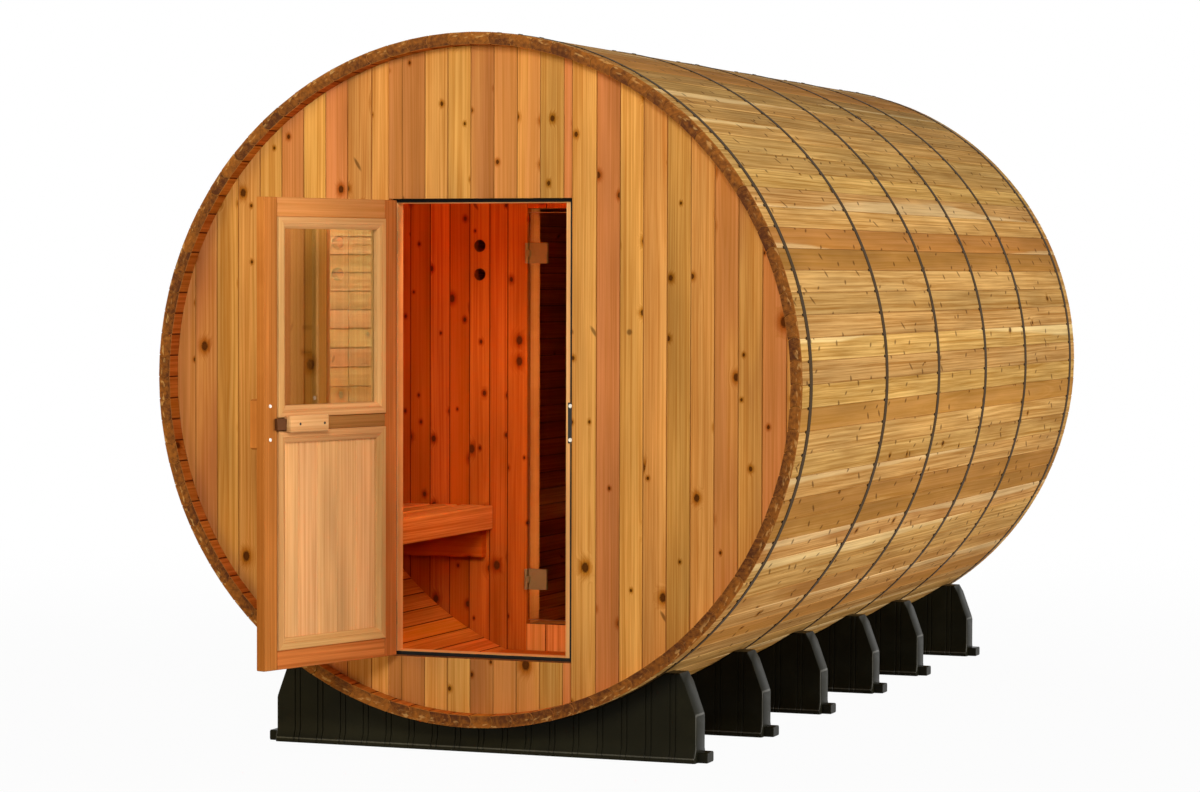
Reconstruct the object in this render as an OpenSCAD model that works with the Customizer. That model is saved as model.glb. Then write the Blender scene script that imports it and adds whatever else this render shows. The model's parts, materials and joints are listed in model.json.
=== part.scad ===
// Barrel sauna with a changing room, lying on six moulded cradles.
// Origin: middle of the front cradle's underside. +Z is up and +Y runs from the front to the back.
// Lengths along the barrel are counted from the front stave ends.

/* [Barrel] */
// Outside diameter of the barrel
barrel_d = 2134; // [1950:1:2300]
// Length of the barrel over the stave ends
barrel_l = 3556; // [2900:1:4200]
// Thickness of the staves
stave_t = 38; // [32:1:44]
// Height of the barrel's underside above the ground
ground_gap = 87; // [60:1:110]
// Depth of the grooves in the staves that seat the walls
croze_depth = 12; // [8:1:16]
// Room between a wall's round edge and the bottom of its groove
croze_clear = 1; // [0.3:0.1:3]

/* [Bands] */
// Width of a steel band
band_w = 28; // [20:1:36]
// Thickness of a steel band
band_t = 1.5; // [1:0.1:3]
// Room between the first band and the first cradle
first_band_gap = 4; // [2:1:20]
// Room between each other band and the cradle in front of it
band_gap = 48; // [20:1:80]

/* [Cradles] */
// Middle of the first cradle, from the front stave ends
cradle_first = 147; // [130:1:200]
// Middle of the last cradle, from the back stave ends
cradle_last = 182; // [150:1:240]
// Place of the second cradle, as a share of the way from the first to the last
second_share = 0.2027; // [0.19:0.0001:0.21]
// Place of the third cradle, as a share of the way from the first to the last
third_share = 0.3991; // [0.38:0.0001:0.41]
// Place of the fourth cradle, as a share of the way from the first to the last
fourth_share = 0.5944; // [0.58:0.0001:0.61]
// Place of the fifth cradle, as a share of the way from the first to the last
fifth_share = 0.7766; // [0.76:0.0001:0.79]
// Thickness of a cradle's body
cradle_t = 86; // [70:1:100]
// Width of a cradle between its upright ends
cradle_w = 1406; // [1360:1:1460]
// Height at which a cradle's ends start to lean inwards
cradle_knee = 140; // [120:1:170]
// Height of a cradle's horns
cradle_h = 272; // [250:1:300]
// How far a cradle's ends lean inwards
cradle_lean = 48; // [30:1:60]
// How far the base flares out in front and behind
flare = 12; // [6:1:18]
// Height at which the base starts to flare
flare_h = 40; // [30:1:50]
// Height of the upright lip under the flare
lip_h = 12; // [8:1:16]
// How far a foot reaches past a cradle's end
foot_reach = 32; // [20:1:45]
// Depth of a foot along the barrel
foot_d = 60; // [40:1:80]
// Height of a foot
foot_h = 32; // [20:1:36]
// Width of the pad in the middle of a cradle's underside
pad_w = 200; // [120:1:300]
// Room under a cradle between its pad and its feet
pad_h = 3; // [1:0.5:6]

/* [Walls] */
// Thickness of the wall boards
wall_t = 38; // [32:1:44]
// How far the end walls stand back from the stave ends
wall_recess = 55; // [40:1:70]
// Front face of the partition, from the front stave ends
partition_y = 1217; // [1100:1:1350]
// Width of the board with the vent holes
vent_board_w = 75; // [60:1:90]
// Middle of the vent board, left of the barrel's middle
vent_x = 472; // [440:1:500]
// Diameter of a vent hole
vent_d = 39; // [30:1:45]
// Height of the lower vent hole's middle
vent_z = 1480; // [1400:1:1520]
// Spacing of the two vent holes
vent_pitch = 98; // [80:1:120]

/* [Outer doorway] */
// Width of the doorway
doorway_w = 610; // [560:1:660]
// Height of the doorway
doorway_h = 1420; // [1380:1:1450]
// Height of the sill
doorway_z = 294; // [280:1:320]
// Middle of the doorway, right of the barrel's middle
doorway_x = 10; // [0:1:30]
// How far the stop behind the doorway reaches into it
stop_lap = 14; // [10:1:18]
// How far the stop on the keeper's side reaches into the doorway
keeper_lap = 34; // [28:1:40]
// How far the stop covers the wall's back
stop_cover = 30; // [20:1:45]
// Depth of the stop
stop_t = 45; // [30:1:60]
// Thickness of the rubber seal
seal_t = 3; // [2:0.5:5]
// Width of the rubber seal
seal_w = 11; // [8:1:13]
// Width of the rubber seal on the keeper's side
keeper_seal_w = 18; // [12:1:22]
// Height of the keeper plate
keeper_h = 125; // [100:1:150]
// Width of the keeper plate
keeper_w = 16; // [12:1:18]
// Room between the keeper plate and the stop's inner edge
keeper_inset = 8; // [2:1:10]
// Middle of the keeper plate above the sill
keeper_z = 733; // [650:1:800]

/* [Outer door] */
// Room between the door and the doorway all round
door_gap = 5; // [5:0.5:8]
// Room between the closed door and the seal
seal_gap = 5; // [5:0.5:7]
// Thickness of the door
door_t = 32; // [28:1:36]
// Width of the stiles and of the top and bottom rails
stile_w = 58; // [50:1:80]
// Width of the middle rail
lock_rail_w = 41; // [36:1:60]
// Height of the opening for the lower panel
panel_h = 655; // [600:1:700]
// Width of the beads round the glass and the panel
bead_w = 35; // [25:1:45]
// How far the beads stand proud of the door
bead_proud = 6; // [3:1:8]
// Thickness of the door's window glass
window_t = 6; // [4:1:8]
// Thickness of the lower panel
panel_t = 12; // [8:1:16]
// Angle at which the door stands open
door_rest = 107; // [80:1:125]
// Length of the inner handle block
inner_handle_l = 173; // [150:1:190]
// Height of the inner handle block
inner_handle_h = 50; // [44:1:60]
// How far the inner handle block stands proud
inner_handle_t = 26; // [18:1:32]
// Width of the catch beside the inner handle
catch_w = 41; // [30:1:46]
// Height of the catch
catch_h = 36; // [28:1:36]
// How far the catch reaches over the stile
catch_over = 13; // [6:1:20]
// Length of the outer handle
outer_handle_l = 150; // [130:1:200]
// Width of the outer handle
outer_handle_w = 30; // [24:1:36]
// How far the outer handle stands proud
outer_handle_t = 42; // [34:1:50]

/* [Hinges] */
// Height of a hinge
hinge_h = 70; // [60:1:90]
// Middle of an outer door hinge, from the doorway's top or bottom
hinge_inset = 136; // [100:1:180]
// Middle of a glass door hinge, from the inner doorway's top or bottom
glass_hinge_inset = 153; // [110:1:190]
// Thickness of a hinge leaf
leaf_t = 1.8; // [1.5:0.1:2]
// Radius of a hinge knuckle
knuckle_r = 5.5; // [4.5:0.1:6]
// Radius of a hinge pin
pin_r = 2.5; // [2:0.1:3]
// Running room round a hinge pin
pin_clear = 0.1; // [0.05:0.01:0.2]
// How far a knuckle's middle stands before the face that it serves
knuckle_out = 9; // [8.5:0.1:11]

/* [Glass door] */
// Width of the inner doorway
glassway_w = 596; // [550:1:630]
// Height of the inner doorway
glassway_h = 1421; // [1380:1:1450]
// Height of the inner sill
glassway_z = 285; // [270:1:310]
// Thickness of the posts behind the inner doorway
post_w = 45; // [38:1:60]
// Depth of the posts
post_d = 89; // [60:1:95]
// Thickness of the glass door
pane_t = 8; // [6:1:10]
// Room over and under the glass door
pane_gap = 13; // [5:1:16]
// How far the glass stands back from the partition's face
pane_back = 6; // [4:1:10]
// Width of a hinge clamp on the glass
clamp_w = 64; // [50:1:76]
// Thickness of a hinge clamp plate
clamp_t = 6; // [4:1:6]
// Length of the glass door's handle bars
pull_l = 220; // [160:1:300]
// Thickness of the handle bars
pull_w = 28; // [22:1:34]
// Room between a handle bar and the glass
pull_gap = 28; // [22:1:35]

/* [Changing room] */
// Height of the bench
bench_z = 688; // [600:1:740]
// Front edge of the bench, left of the barrel's middle
bench_x = 422; // [410:1:450]
// Height of the bench's front board
apron_h = 82; // [60:1:110]
// Thickness of the bench's front board
apron_t = 25; // [20:1:30]
// Thickness of the bench slats
slat_t = 28; // [20:1:34]
// Width of the bench slats
slat_w = 86; // [70:1:90]
// Room between the bench slats
slat_gap = 16; // [8:1:24]
// Depth of the cleats that carry the bench
cleat_h = 150; // [120:1:170]
// Thickness of the cleats
cleat_t = 38; // [30:1:45]
// Height of the floor
floor_z = 195; // [180:1:220]
// Thickness of the floor boards
floor_t = 25; // [20:1:30]
// Room between the bench or floor boards and the walls
board_clear = 2; // [1:0.5:4]

/* [Hidden] */
$fn = 96;
// Sides that stand for a full turn of the barrel
barrel_fn = 360;

cedar = "#c98f4e";
cedar_red = "#b5652f";
cedar_pale = "#d9a868";
steel_dark = "#3a3936";
plastic_black = "#25241c";
rubber_black = "#151515";
steel_warm = "#b29a76";

segments = 8;
segment_angle = 360 / segments;
seat_clear = 0.3;
cut = 1;

outer_r = barrel_d / 2;
inner_r = outer_r - stave_t;
wall_r = inner_r + croze_depth - croze_clear;
axis_z = ground_gap + outer_r;
rim_y = -cradle_first;
front_y = wall_recess;
front_back_y = front_y + wall_t;
partition_back_y = partition_y + wall_t;
back_y = barrel_l - wall_recess - wall_t;

cradle_span = barrel_l - cradle_first - cradle_last;
cradle_shares = [0, second_share, third_share, fourth_share, fifth_share, 1];
function cradle_y(i) = cradle_first + cradle_span * cradle_shares[i - 1];
function band_y(i) = i == 1
    ? cradle_y(1) - cradle_t / 2 - first_band_gap - band_w
    : cradle_y(i) + cradle_t / 2 + band_gap;

vent_l = -vent_x - vent_board_w / 2;
vent_r = -vent_x + vent_board_w / 2;

doorway_l = doorway_x - doorway_w / 2;
doorway_r = doorway_x + doorway_w / 2;
doorway_top = doorway_z + doorway_h;
keeper_x = doorway_r - keeper_lap + keeper_inset;
glassway_l = -glassway_w / 2;
glassway_r = glassway_w / 2;
glassway_top = glassway_z + glassway_h;

door_w = doorway_w - 2 * door_gap;
door_h = doorway_h - 2 * door_gap;
door_l = doorway_l + door_gap;
door_z = doorway_z + door_gap;
door_in_y = front_back_y - seal_t - seal_gap;
door_out_y = door_in_y - door_t;
door_pivot_x = doorway_l + door_gap / 2;
door_pivot_y = front_y - knuckle_out;
opening_w = door_w - 2 * stile_w;
panel_z = door_z + stile_w;
window_z = panel_z + panel_h + lock_rail_w;
window_h = door_z + door_h - stile_w - window_z;
door_mid_y = (door_in_y + door_out_y) / 2;
lock_rail_z = panel_z + panel_h + lock_rail_w / 2;
inner_handle_x = door_l + door_w - stile_w + catch_over - catch_w - inner_handle_l;

pane_y = partition_y + pane_back;
pane_l = glassway_l + door_gap;
pane_w = glassway_w - 2 * door_gap;
pane_z = glassway_z + pane_gap;
pane_h = glassway_h - 2 * pane_gap;
pane_pivot_x = glassway_l + door_gap / 2;
pane_pivot_y = partition_y - knuckle_out;
pull_x = pane_l + pane_w - 3 * pull_w;
pull_z = pane_z + pane_h / 2;

slat_top_z = bench_z;
slat_low_z = bench_z - slat_t;
bench_l = partition_y - front_back_y - 2 * board_clear;
bench_wall_x = sqrt(pow(inner_r, 2) - pow(axis_z - slat_low_z, 2));
slat_first = bench_x + apron_t + slat_gap / 4;
slats = floor((bench_wall_x - slat_first - seat_clear + slat_gap) / (slat_w + slat_gap));

// Places a shape drawn round +Z along the barrel's axis, y behind the front stave ends
module along_barrel(y) {
    translate([0, rim_y + y, axis_z])
        rotate([-90, 0, 0])
            children();
}

// Box from a corner, with y counted from the front stave ends
module block(x, y, z, size) {
    translate([x, rim_y + y, z])
        cube(size);
}

// Everything that lies inside the staves, less a hair of room
module inside_barrel() {
    intersection() {
        children();
        along_barrel(-cut)
            cylinder(r = inner_r - seat_clear, h = barrel_l + 2 * cut, $fn = barrel_fn);
    }
}

// Part of a round wall between two uprights and two heights
module wall_piece(y, x0, x1, z0, z1) {
    intersection() {
        along_barrel(y)
            cylinder(r = wall_r, h = wall_t, $fn = barrel_fn);
        block(x0, y - cut, z0, [x1 - x0, wall_t + 2 * cut, z1 - z0]);
    }
}

// The two vent holes, one above the other
module vent_holes(y) {
    for (i = [0, 1])
        translate([-vent_x, rim_y + y - cut, vent_z + i * vent_pitch])
            rotate([-90, 0, 0])
                cylinder(d = vent_d, h = wall_t + 2 * cut);
}

module vent_board(y) {
    difference() {
        wall_piece(y, vent_l, vent_r, 0, 2 * axis_z);
        vent_holes(y);
    }
}

// Flat upright ring inside the box x, z, size_x, size_z, w wide, and right_w wide on the right
module upright_ring(x, y, z, size_x, t, size_z, w, right_w) {
    difference() {
        block(x, y, z, [size_x, t, size_z]);
        block(x + w, y - cut, z + w, [size_x - w - right_w, t + 2 * cut, size_z - 2 * w]);
    }
}

// Long section of the staves with a groove for each wall, radius across and length up
function groove(y) = [
    [inner_r, y + wall_t],
    [inner_r + croze_depth, y + wall_t],
    [inner_r + croze_depth, y],
    [inner_r, y]
];
stave_section = concat(
    [[inner_r, 0], [outer_r, 0], [outer_r, barrel_l], [inner_r, barrel_l]],
    groove(back_y),
    groove(partition_y),
    groove(front_y)
);

module stave_segment(k) {
    color(cedar)
        along_barrel(0)
            rotate([0, 0, -k * segment_angle])
                rotate_extrude(angle = segment_angle, $fn = barrel_fn)
                    polygon(stave_section);
}

module band(i) {
    color(steel_dark)
        along_barrel(band_y(i))
            difference() {
                cylinder(r = outer_r + seat_clear + band_t, h = band_w, $fn = barrel_fn);
                translate([0, 0, -cut])
                    cylinder(r = outer_r + seat_clear, h = band_w + 2 * cut, $fn = barrel_fn);
            }
}

// Upright outline of a cradle's body, across and up
cradle_outline = [
    [-cradle_w / 2, 0],
    [cradle_w / 2, 0],
    [cradle_w / 2, cradle_knee],
    [cradle_w / 2 - cradle_lean, cradle_h],
    [cradle_lean - cradle_w / 2, cradle_h],
    [-cradle_w / 2, cradle_knee]
];
// Cross-section of a cradle's flared base, along the barrel and up
base_d = cradle_t + 2 * flare;
base_section = [
    [-base_d / 2, 0],
    [base_d / 2, 0],
    [base_d / 2, lip_h],
    [cradle_t / 2, flare_h],
    [-cradle_t / 2, flare_h],
    [-base_d / 2, lip_h]
];

// Room under one half of a cradle's base, between its pad and its foot
module under_base(side) {
    span = (cradle_w - pad_w) / 2 + cut;
    translate([side > 0 ? pad_w / 2 : -pad_w / 2 - span, -base_d / 2 - cut, -cut])
        cube([span, base_d + 2 * cut, pad_h + cut]);
}

// Foot against one end of a cradle
module cradle_foot(side) {
    reach = foot_reach - seat_clear;
    start = cradle_w / 2 + seat_clear;
    translate([side > 0 ? start : -start - reach, -foot_d / 2, 0])
        cube([reach, foot_d, foot_h]);
}

module cradle(i) {
    color(plastic_black) {
        difference() {
            translate([0, rim_y + cradle_y(i), 0])
                difference() {
                    union() {
                        translate([0, cradle_t / 2, 0])
                            rotate([90, 0, 0])
                                linear_extrude(cradle_t)
                                    polygon(cradle_outline);
                        translate([-cradle_w / 2, 0, 0])
                            rotate([90, 0, 90])
                                linear_extrude(cradle_w)
                                    polygon(base_section);
                    }
                    under_base(-1);
                    under_base(1);
                }
            along_barrel(-cut)
                cylinder(r = outer_r + seat_clear, h = barrel_l + 2 * cut, $fn = barrel_fn);
        }
        translate([0, rim_y + cradle_y(i), 0]) {
            cradle_foot(-1);
            cradle_foot(1);
        }
    }
}

module front_wall_left() {
    color(cedar)
        wall_piece(front_y, -outer_r, vent_l, 0, 2 * axis_z);
}

module front_vent_board() {
    color(cedar)
        vent_board(front_y);
}

module front_jamb_board() {
    color(cedar)
        wall_piece(front_y, vent_r, doorway_l, 0, 2 * axis_z);
}

module front_wall_over_door() {
    color(cedar)
        wall_piece(front_y, doorway_l, doorway_r, doorway_top, 2 * axis_z);
}

module front_wall_under_door() {
    color(cedar)
        wall_piece(front_y, doorway_l, doorway_r, 0, doorway_z);
}

module front_wall_right() {
    color(cedar)
        wall_piece(front_y, doorway_r, outer_r, 0, 2 * axis_z);
}

module partition_left() {
    color(cedar_red)
        wall_piece(partition_y, -outer_r, vent_l, 0, 2 * axis_z);
}

module partition_vent_board() {
    color(cedar_red)
        vent_board(partition_y);
}

module partition_jamb_board() {
    color(cedar_red)
        wall_piece(partition_y, vent_r, glassway_l, 0, 2 * axis_z);
}

module partition_over_door() {
    color(cedar_red)
        wall_piece(partition_y, glassway_l, glassway_r, glassway_top, 2 * axis_z);
}

module partition_under_door() {
    color(cedar_red)
        wall_piece(partition_y, glassway_l, glassway_r, 0, glassway_z);
}

module partition_right() {
    color(cedar_red)
        wall_piece(partition_y, glassway_r, outer_r, 0, 2 * axis_z);
}

module back_wall() {
    color(cedar)
        wall_piece(back_y, -outer_r, outer_r, 0, 2 * axis_z);
}

module changing_room_floor() {
    color(cedar_red)
        inside_barrel()
            block(-outer_r, front_back_y + board_clear, floor_z - floor_t, [2 * outer_r, bench_l, floor_t]);
}

module door_stop() {
    color(cedar_pale)
        upright_ring(
            doorway_l - stop_cover, front_back_y, doorway_z - stop_cover,
            doorway_w + 2 * stop_cover, stop_t, doorway_h + 2 * stop_cover,
            stop_cover + stop_lap, stop_cover + keeper_lap
        );
}

// Plate on the stop's face that the door's catch meets, with extra room all round it
module keeper_plate(room) {
    block(
        keeper_x - room, front_back_y - seal_t - room, doorway_z + keeper_z - keeper_h / 2 - room,
        [keeper_w + 2 * room, seal_t + room, keeper_h + 2 * room]
    );
}

module door_seal() {
    color(rubber_black)
        difference() {
            upright_ring(
                doorway_l + seat_clear, front_back_y - seal_t, doorway_z + seat_clear,
                doorway_w - 2 * seat_clear, seal_t, doorway_h - 2 * seat_clear, seal_w, keeper_seal_w
            );
            keeper_plate(seat_clear);
        }
}

module door_keeper() {
    color(steel_dark)
        keeper_plate(0);
}

// Heights of the lower ends of the two hinges in a doorway
function hinge_heights(z, h, inset) = [z + inset - hinge_h / 2, z + h - inset - hinge_h / 2];

// Pin with the two outer knuckles of a hinge, on the axis x, y
module fixed_knuckles(x, y, z) {
    translate([x, rim_y + y, z]) {
        cylinder(r = pin_r, h = hinge_h);
        for (i = [0, 2])
            translate([0, 0, i * hinge_h / 3])
                cylinder(r = knuckle_r, h = hinge_h / 3);
    }
}

// Tabs that join the outer knuckles to a leaf at x, t thick, reaching back to y1
module fixed_tabs(x, t, y, y1, z) {
    for (i = [0, 2])
        block(x, y, z + i * hinge_h / 3, [t, y1 - y, hinge_h / 3]);
}

// Middle knuckle of a hinge, without its bore
module middle_knuckle(x, y, z) {
    translate([x, rim_y + y, z + hinge_h / 3 + seat_clear])
        cylinder(r = knuckle_r, h = hinge_h / 3 - 2 * seat_clear);
}

module pin_bore(x, y, z) {
    translate([x, rim_y + y, z - cut])
        cylinder(r = pin_r + pin_clear, h = hinge_h + 2 * cut);
}

// Fixed half of a butt hinge on the jamb at x: leaf, tabs, knuckles and pin
module jamb_leaf(x, y, pivot_x, pivot_y, depth, z) {
    block(x, y, z, [leaf_t, depth, hinge_h]);
    fixed_tabs(x, pivot_x - x, pivot_y, y + cut, z);
    fixed_knuckles(pivot_x, pivot_y, z);
}

module door_hinge_jamb_leaves() {
    color(steel_warm)
        for (z = hinge_heights(doorway_z, doorway_h, hinge_inset))
            jamb_leaf(doorway_l, front_y, door_pivot_x, door_pivot_y, door_t, z);
}

module bench_slats() {
    color(cedar_pale)
        for (i = [0 : slats - 1])
            block(
                -slat_first - slat_w - i * (slat_w + slat_gap), front_back_y + board_clear, slat_low_z,
                [slat_w, bench_l, slat_t]
            );
}

module bench_apron() {
    color(cedar_pale)
        block(-bench_x - apron_t, front_back_y + board_clear, bench_z - apron_h, [apron_t, bench_l, apron_h]);
}

module bench_cleats() {
    color(cedar_red)
        inside_barrel()
            for (y = [front_back_y, partition_y - cleat_t])
                block(-outer_r, y, slat_low_z - cleat_h, [outer_r - bench_x - apron_t, cleat_t, cleat_h]);
}

module glass_door_posts() {
    color(cedar)
        upright_ring(
            glassway_l - post_w, partition_back_y, glassway_z - post_w,
            glassway_w + 2 * post_w, post_d, glassway_h + 2 * post_w, post_w, post_w
        );
}

module glass_hinge_jamb_leaves() {
    color(steel_warm)
        for (z = hinge_heights(glassway_z, glassway_h, glass_hinge_inset))
            jamb_leaf(glassway_l, partition_y, pane_pivot_x, pane_pivot_y, wall_t, z);
}

// Swings what is drawn closed to where the outer door stands open
module opened() {
    translate([door_pivot_x, rim_y + door_pivot_y, 0])
        rotate([0, 0, -door_rest])
            translate([-door_pivot_x, -rim_y - door_pivot_y, 0])
                children();
}

module door_frame() {
    color(cedar)
        opened()
            difference() {
                block(door_l, door_out_y, door_z, [door_w, door_t, door_h]);
                block(door_l + stile_w, door_out_y - cut, panel_z, [opening_w, door_t + 2 * cut, panel_h]);
                block(door_l + stile_w, door_out_y - cut, window_z, [opening_w, door_t + 2 * cut, window_h]);
            }
}

module door_window() {
    color([0.75, 0.85, 0.85, 0.4])
        opened()
            block(door_l + stile_w, door_mid_y - window_t / 2, window_z, [opening_w, window_t, window_h]);
}

module door_panel() {
    color(cedar_pale)
        opened()
            block(door_l + stile_w, door_mid_y - panel_t / 2, panel_z, [opening_w, panel_t, panel_h]);
}

// Beads on both sides of a filling, t thick, between z and z + h
module bead_pair(t, z, h) {
    inner = door_mid_y + t / 2;
    outer = door_out_y - bead_proud;
    upright_ring(door_l + stile_w, inner, z, opening_w, door_in_y + bead_proud - inner, h, bead_w, bead_w);
    upright_ring(door_l + stile_w, outer, z, opening_w, door_mid_y - t / 2 - outer, h, bead_w, bead_w);
}

module door_beads() {
    color(cedar_pale)
        opened() {
            bead_pair(window_t, window_z, window_h);
            bead_pair(panel_t, panel_z, panel_h);
        }
}

// Handle block before the beads, with a tongue that reaches between them to the middle rail
module door_inner_handle() {
    tongue_h = lock_rail_w - 2 * seat_clear;
    block_y = door_in_y + bead_proud + seat_clear;
    color(cedar)
        opened()
            union() {
                block(
                    inner_handle_x, door_in_y, lock_rail_z - tongue_h / 2,
                    [inner_handle_l, inner_handle_t, tongue_h]
                );
                block(
                    inner_handle_x, block_y, lock_rail_z - inner_handle_h / 2,
                    [inner_handle_l, door_in_y + inner_handle_t - block_y, inner_handle_h]
                );
            }
}

module door_catch() {
    color(steel_dark)
        opened()
            block(
                inner_handle_x + inner_handle_l, door_in_y, lock_rail_z - catch_h / 2,
                [catch_w, inner_handle_t / 2, catch_h]
            );
}

module door_outer_handle() {
    color(cedar)
        opened()
            block(
                door_l + door_w - stile_w / 2 - outer_handle_w / 2, door_out_y - outer_handle_t,
                lock_rail_z - outer_handle_l / 2,
                [outer_handle_w, outer_handle_t, outer_handle_l]
            );
}

module door_hinge_leaves() {
    color(steel_warm)
        opened()
            for (z = hinge_heights(doorway_z, doorway_h, hinge_inset))
                difference() {
                    union() {
                        block(door_l - leaf_t, door_out_y, z, [leaf_t, door_t, hinge_h]);
                        block(
                            door_l - leaf_t, door_pivot_y, z + hinge_h / 3 + seat_clear,
                            [leaf_t, door_out_y - door_pivot_y + cut, hinge_h / 3 - 2 * seat_clear]
                        );
                        middle_knuckle(door_pivot_x, door_pivot_y, z);
                    }
                    pin_bore(door_pivot_x, door_pivot_y, z);
                }
}

module glass_pane() {
    color([0.25, 0.12, 0.08, 0.5])
        block(pane_l, pane_y, pane_z, [pane_w, pane_t, pane_h]);
}

// Clamp on the glass: a plate on each side, and an arm from the front plate to the middle knuckle
module glass_clamp(z) {
    clamp_x = pane_pivot_x + knuckle_r + cut;
    clamp_front = pane_y - clamp_t;
    arm_y = pane_pivot_y - knuckle_r;
    arm_h = hinge_h / 3 - 2 * seat_clear;
    block(clamp_x, clamp_front, z, [clamp_w, clamp_t, hinge_h]);
    block(clamp_x, pane_y + pane_t, z, [clamp_w, clamp_t, hinge_h]);
    difference() {
        union() {
            block(
                pane_pivot_x, arm_y, z + hinge_h / 3 + seat_clear,
                [clamp_x - pane_pivot_x, clamp_t, arm_h]
            );
            block(
                clamp_x, arm_y, z + hinge_h / 3 + seat_clear,
                [clamp_t, clamp_front - arm_y, arm_h]
            );
            middle_knuckle(pane_pivot_x, pane_pivot_y, z);
        }
        pin_bore(pane_pivot_x, pane_pivot_y, z);
    }
}

module glass_hinge_clamps() {
    color(steel_warm)
        for (z = hinge_heights(glassway_z, glassway_h, glass_hinge_inset))
            glass_clamp(z);
}

// Handle bar on one side of the glass, standing on two round posts
module pull_bar(bar_y, post_y) {
    block(pull_x - pull_w / 2, bar_y, pull_z - pull_l / 2, [pull_w, pull_w, pull_l]);
    for (dz = [-pull_l / 3, pull_l / 3])
        translate([pull_x, rim_y + post_y, pull_z + dz])
            rotate([-90, 0, 0])
                cylinder(d = pull_w / 2, h = pull_gap);
}

module glass_door_handle() {
    color(cedar)
        union() {
            pull_bar(pane_y - pull_gap - pull_w, pane_y - pull_gap);
            pull_bar(pane_y + pane_t + pull_gap, pane_y + pane_t);
        }
}

stave_segment(1);  // stave_segment_1
stave_segment(2);  // stave_segment_2
stave_segment(3);  // stave_segment_3
stave_segment(4);  // stave_segment_4
stave_segment(5);  // stave_segment_5
stave_segment(6);  // stave_segment_6
stave_segment(7);  // stave_segment_7
stave_segment(8);  // stave_segment_8
band(1);  // band_1
band(2);  // band_2
band(3);  // band_3
band(4);  // band_4
band(5);  // band_5
band(6);  // band_6
cradle(1);  // cradle_1
cradle(2);  // cradle_2
cradle(3);  // cradle_3
cradle(4);  // cradle_4
cradle(5);  // cradle_5
cradle(6);  // cradle_6
front_wall_left();
front_vent_board();
front_jamb_board();
front_wall_over_door();
front_wall_under_door();
front_wall_right();
partition_left();
partition_vent_board();
partition_jamb_board();
partition_over_door();
partition_under_door();
partition_right();
back_wall();
changing_room_floor();
door_stop();
door_seal();
door_keeper();
door_hinge_jamb_leaves();
bench_slats();
bench_apron();
bench_cleats();
glass_door_posts();
glass_hinge_jamb_leaves();
door_frame();
door_window();
door_panel();
door_beads();
door_inner_handle();
door_catch();
door_outer_handle();
door_hinge_leaves();
glass_pane();
glass_hinge_clamps();
glass_door_handle();
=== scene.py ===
import json
import math

import bpy
import numpy as np
from bpy.props import FloatProperty, FloatVectorProperty, IntProperty, PointerProperty
from mathutils import Matrix, Vector


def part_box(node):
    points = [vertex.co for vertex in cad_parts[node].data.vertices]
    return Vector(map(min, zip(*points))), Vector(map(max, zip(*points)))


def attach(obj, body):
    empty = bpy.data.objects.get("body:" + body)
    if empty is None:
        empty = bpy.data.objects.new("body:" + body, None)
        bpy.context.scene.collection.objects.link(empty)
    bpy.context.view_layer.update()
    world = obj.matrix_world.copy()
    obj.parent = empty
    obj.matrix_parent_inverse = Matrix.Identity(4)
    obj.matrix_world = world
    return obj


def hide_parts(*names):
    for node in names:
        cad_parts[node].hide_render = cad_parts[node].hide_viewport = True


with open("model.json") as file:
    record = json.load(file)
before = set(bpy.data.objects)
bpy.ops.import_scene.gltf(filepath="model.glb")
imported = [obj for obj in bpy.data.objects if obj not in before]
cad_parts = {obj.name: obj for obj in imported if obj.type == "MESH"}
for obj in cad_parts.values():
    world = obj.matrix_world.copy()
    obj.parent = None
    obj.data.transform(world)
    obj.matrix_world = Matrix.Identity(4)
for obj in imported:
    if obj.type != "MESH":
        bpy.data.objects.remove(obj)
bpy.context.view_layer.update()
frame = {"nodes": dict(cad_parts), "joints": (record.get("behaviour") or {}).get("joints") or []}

bl_info = {
    "name": "Barrel Sauna",
    "version": (1, 0, 0),
    "blender": (4, 5, 0),
    "location": "View3D > Sidebar > Sauna",
    "description": "Dresses the barrel sauna's solids with boards, bands, doors and finishes",
    "category": "Object",
}

PHOTO_WIDTH = 1200
FULL_TURN = 2 * math.pi


def node_box(node):
    """Lowest and highest corner of a CAD node, as arrays."""
    low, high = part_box(node)
    return np.array(low), np.array(high)


SEGMENTS = ["stave_segment_%d" % k for k in range(1, 9)]
SEGMENT_BOXES = [node_box(n) for n in SEGMENTS]
BARREL_LOW = np.min([b[0] for b in SEGMENT_BOXES], axis=0)
BARREL_HIGH = np.max([b[1] for b in SEGMENT_BOXES], axis=0)
OUTER_R = float(BARREL_HIGH[2] - BARREL_LOW[2]) / 2
AXIS_Z = float(BARREL_HIGH[2] + BARREL_LOW[2]) / 2
FRONT_Y = float(BARREL_LOW[1])
BACK_Y = float(BARREL_HIGH[1])
JOINTS = {j["name"]: j for j in frame["joints"]}
DOOR_PIVOT = np.array(JOINTS["outer_door_hinge"]["pos_m"])
DOOR_OPEN = math.radians(-JOINTS["outer_door_hinge"]["range_deg"][0])


def length(name, words, default):
    """A length property in metres."""
    return FloatProperty(name=name, description=words, default=default, min=0.0, unit="LENGTH")


def colour(name, words, default):
    """A colour property, as a plain linear colour."""
    return FloatVectorProperty(
        name=name, description=words, default=default, size=3, min=0.0, max=1.0, subtype="COLOR"
    )


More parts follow.
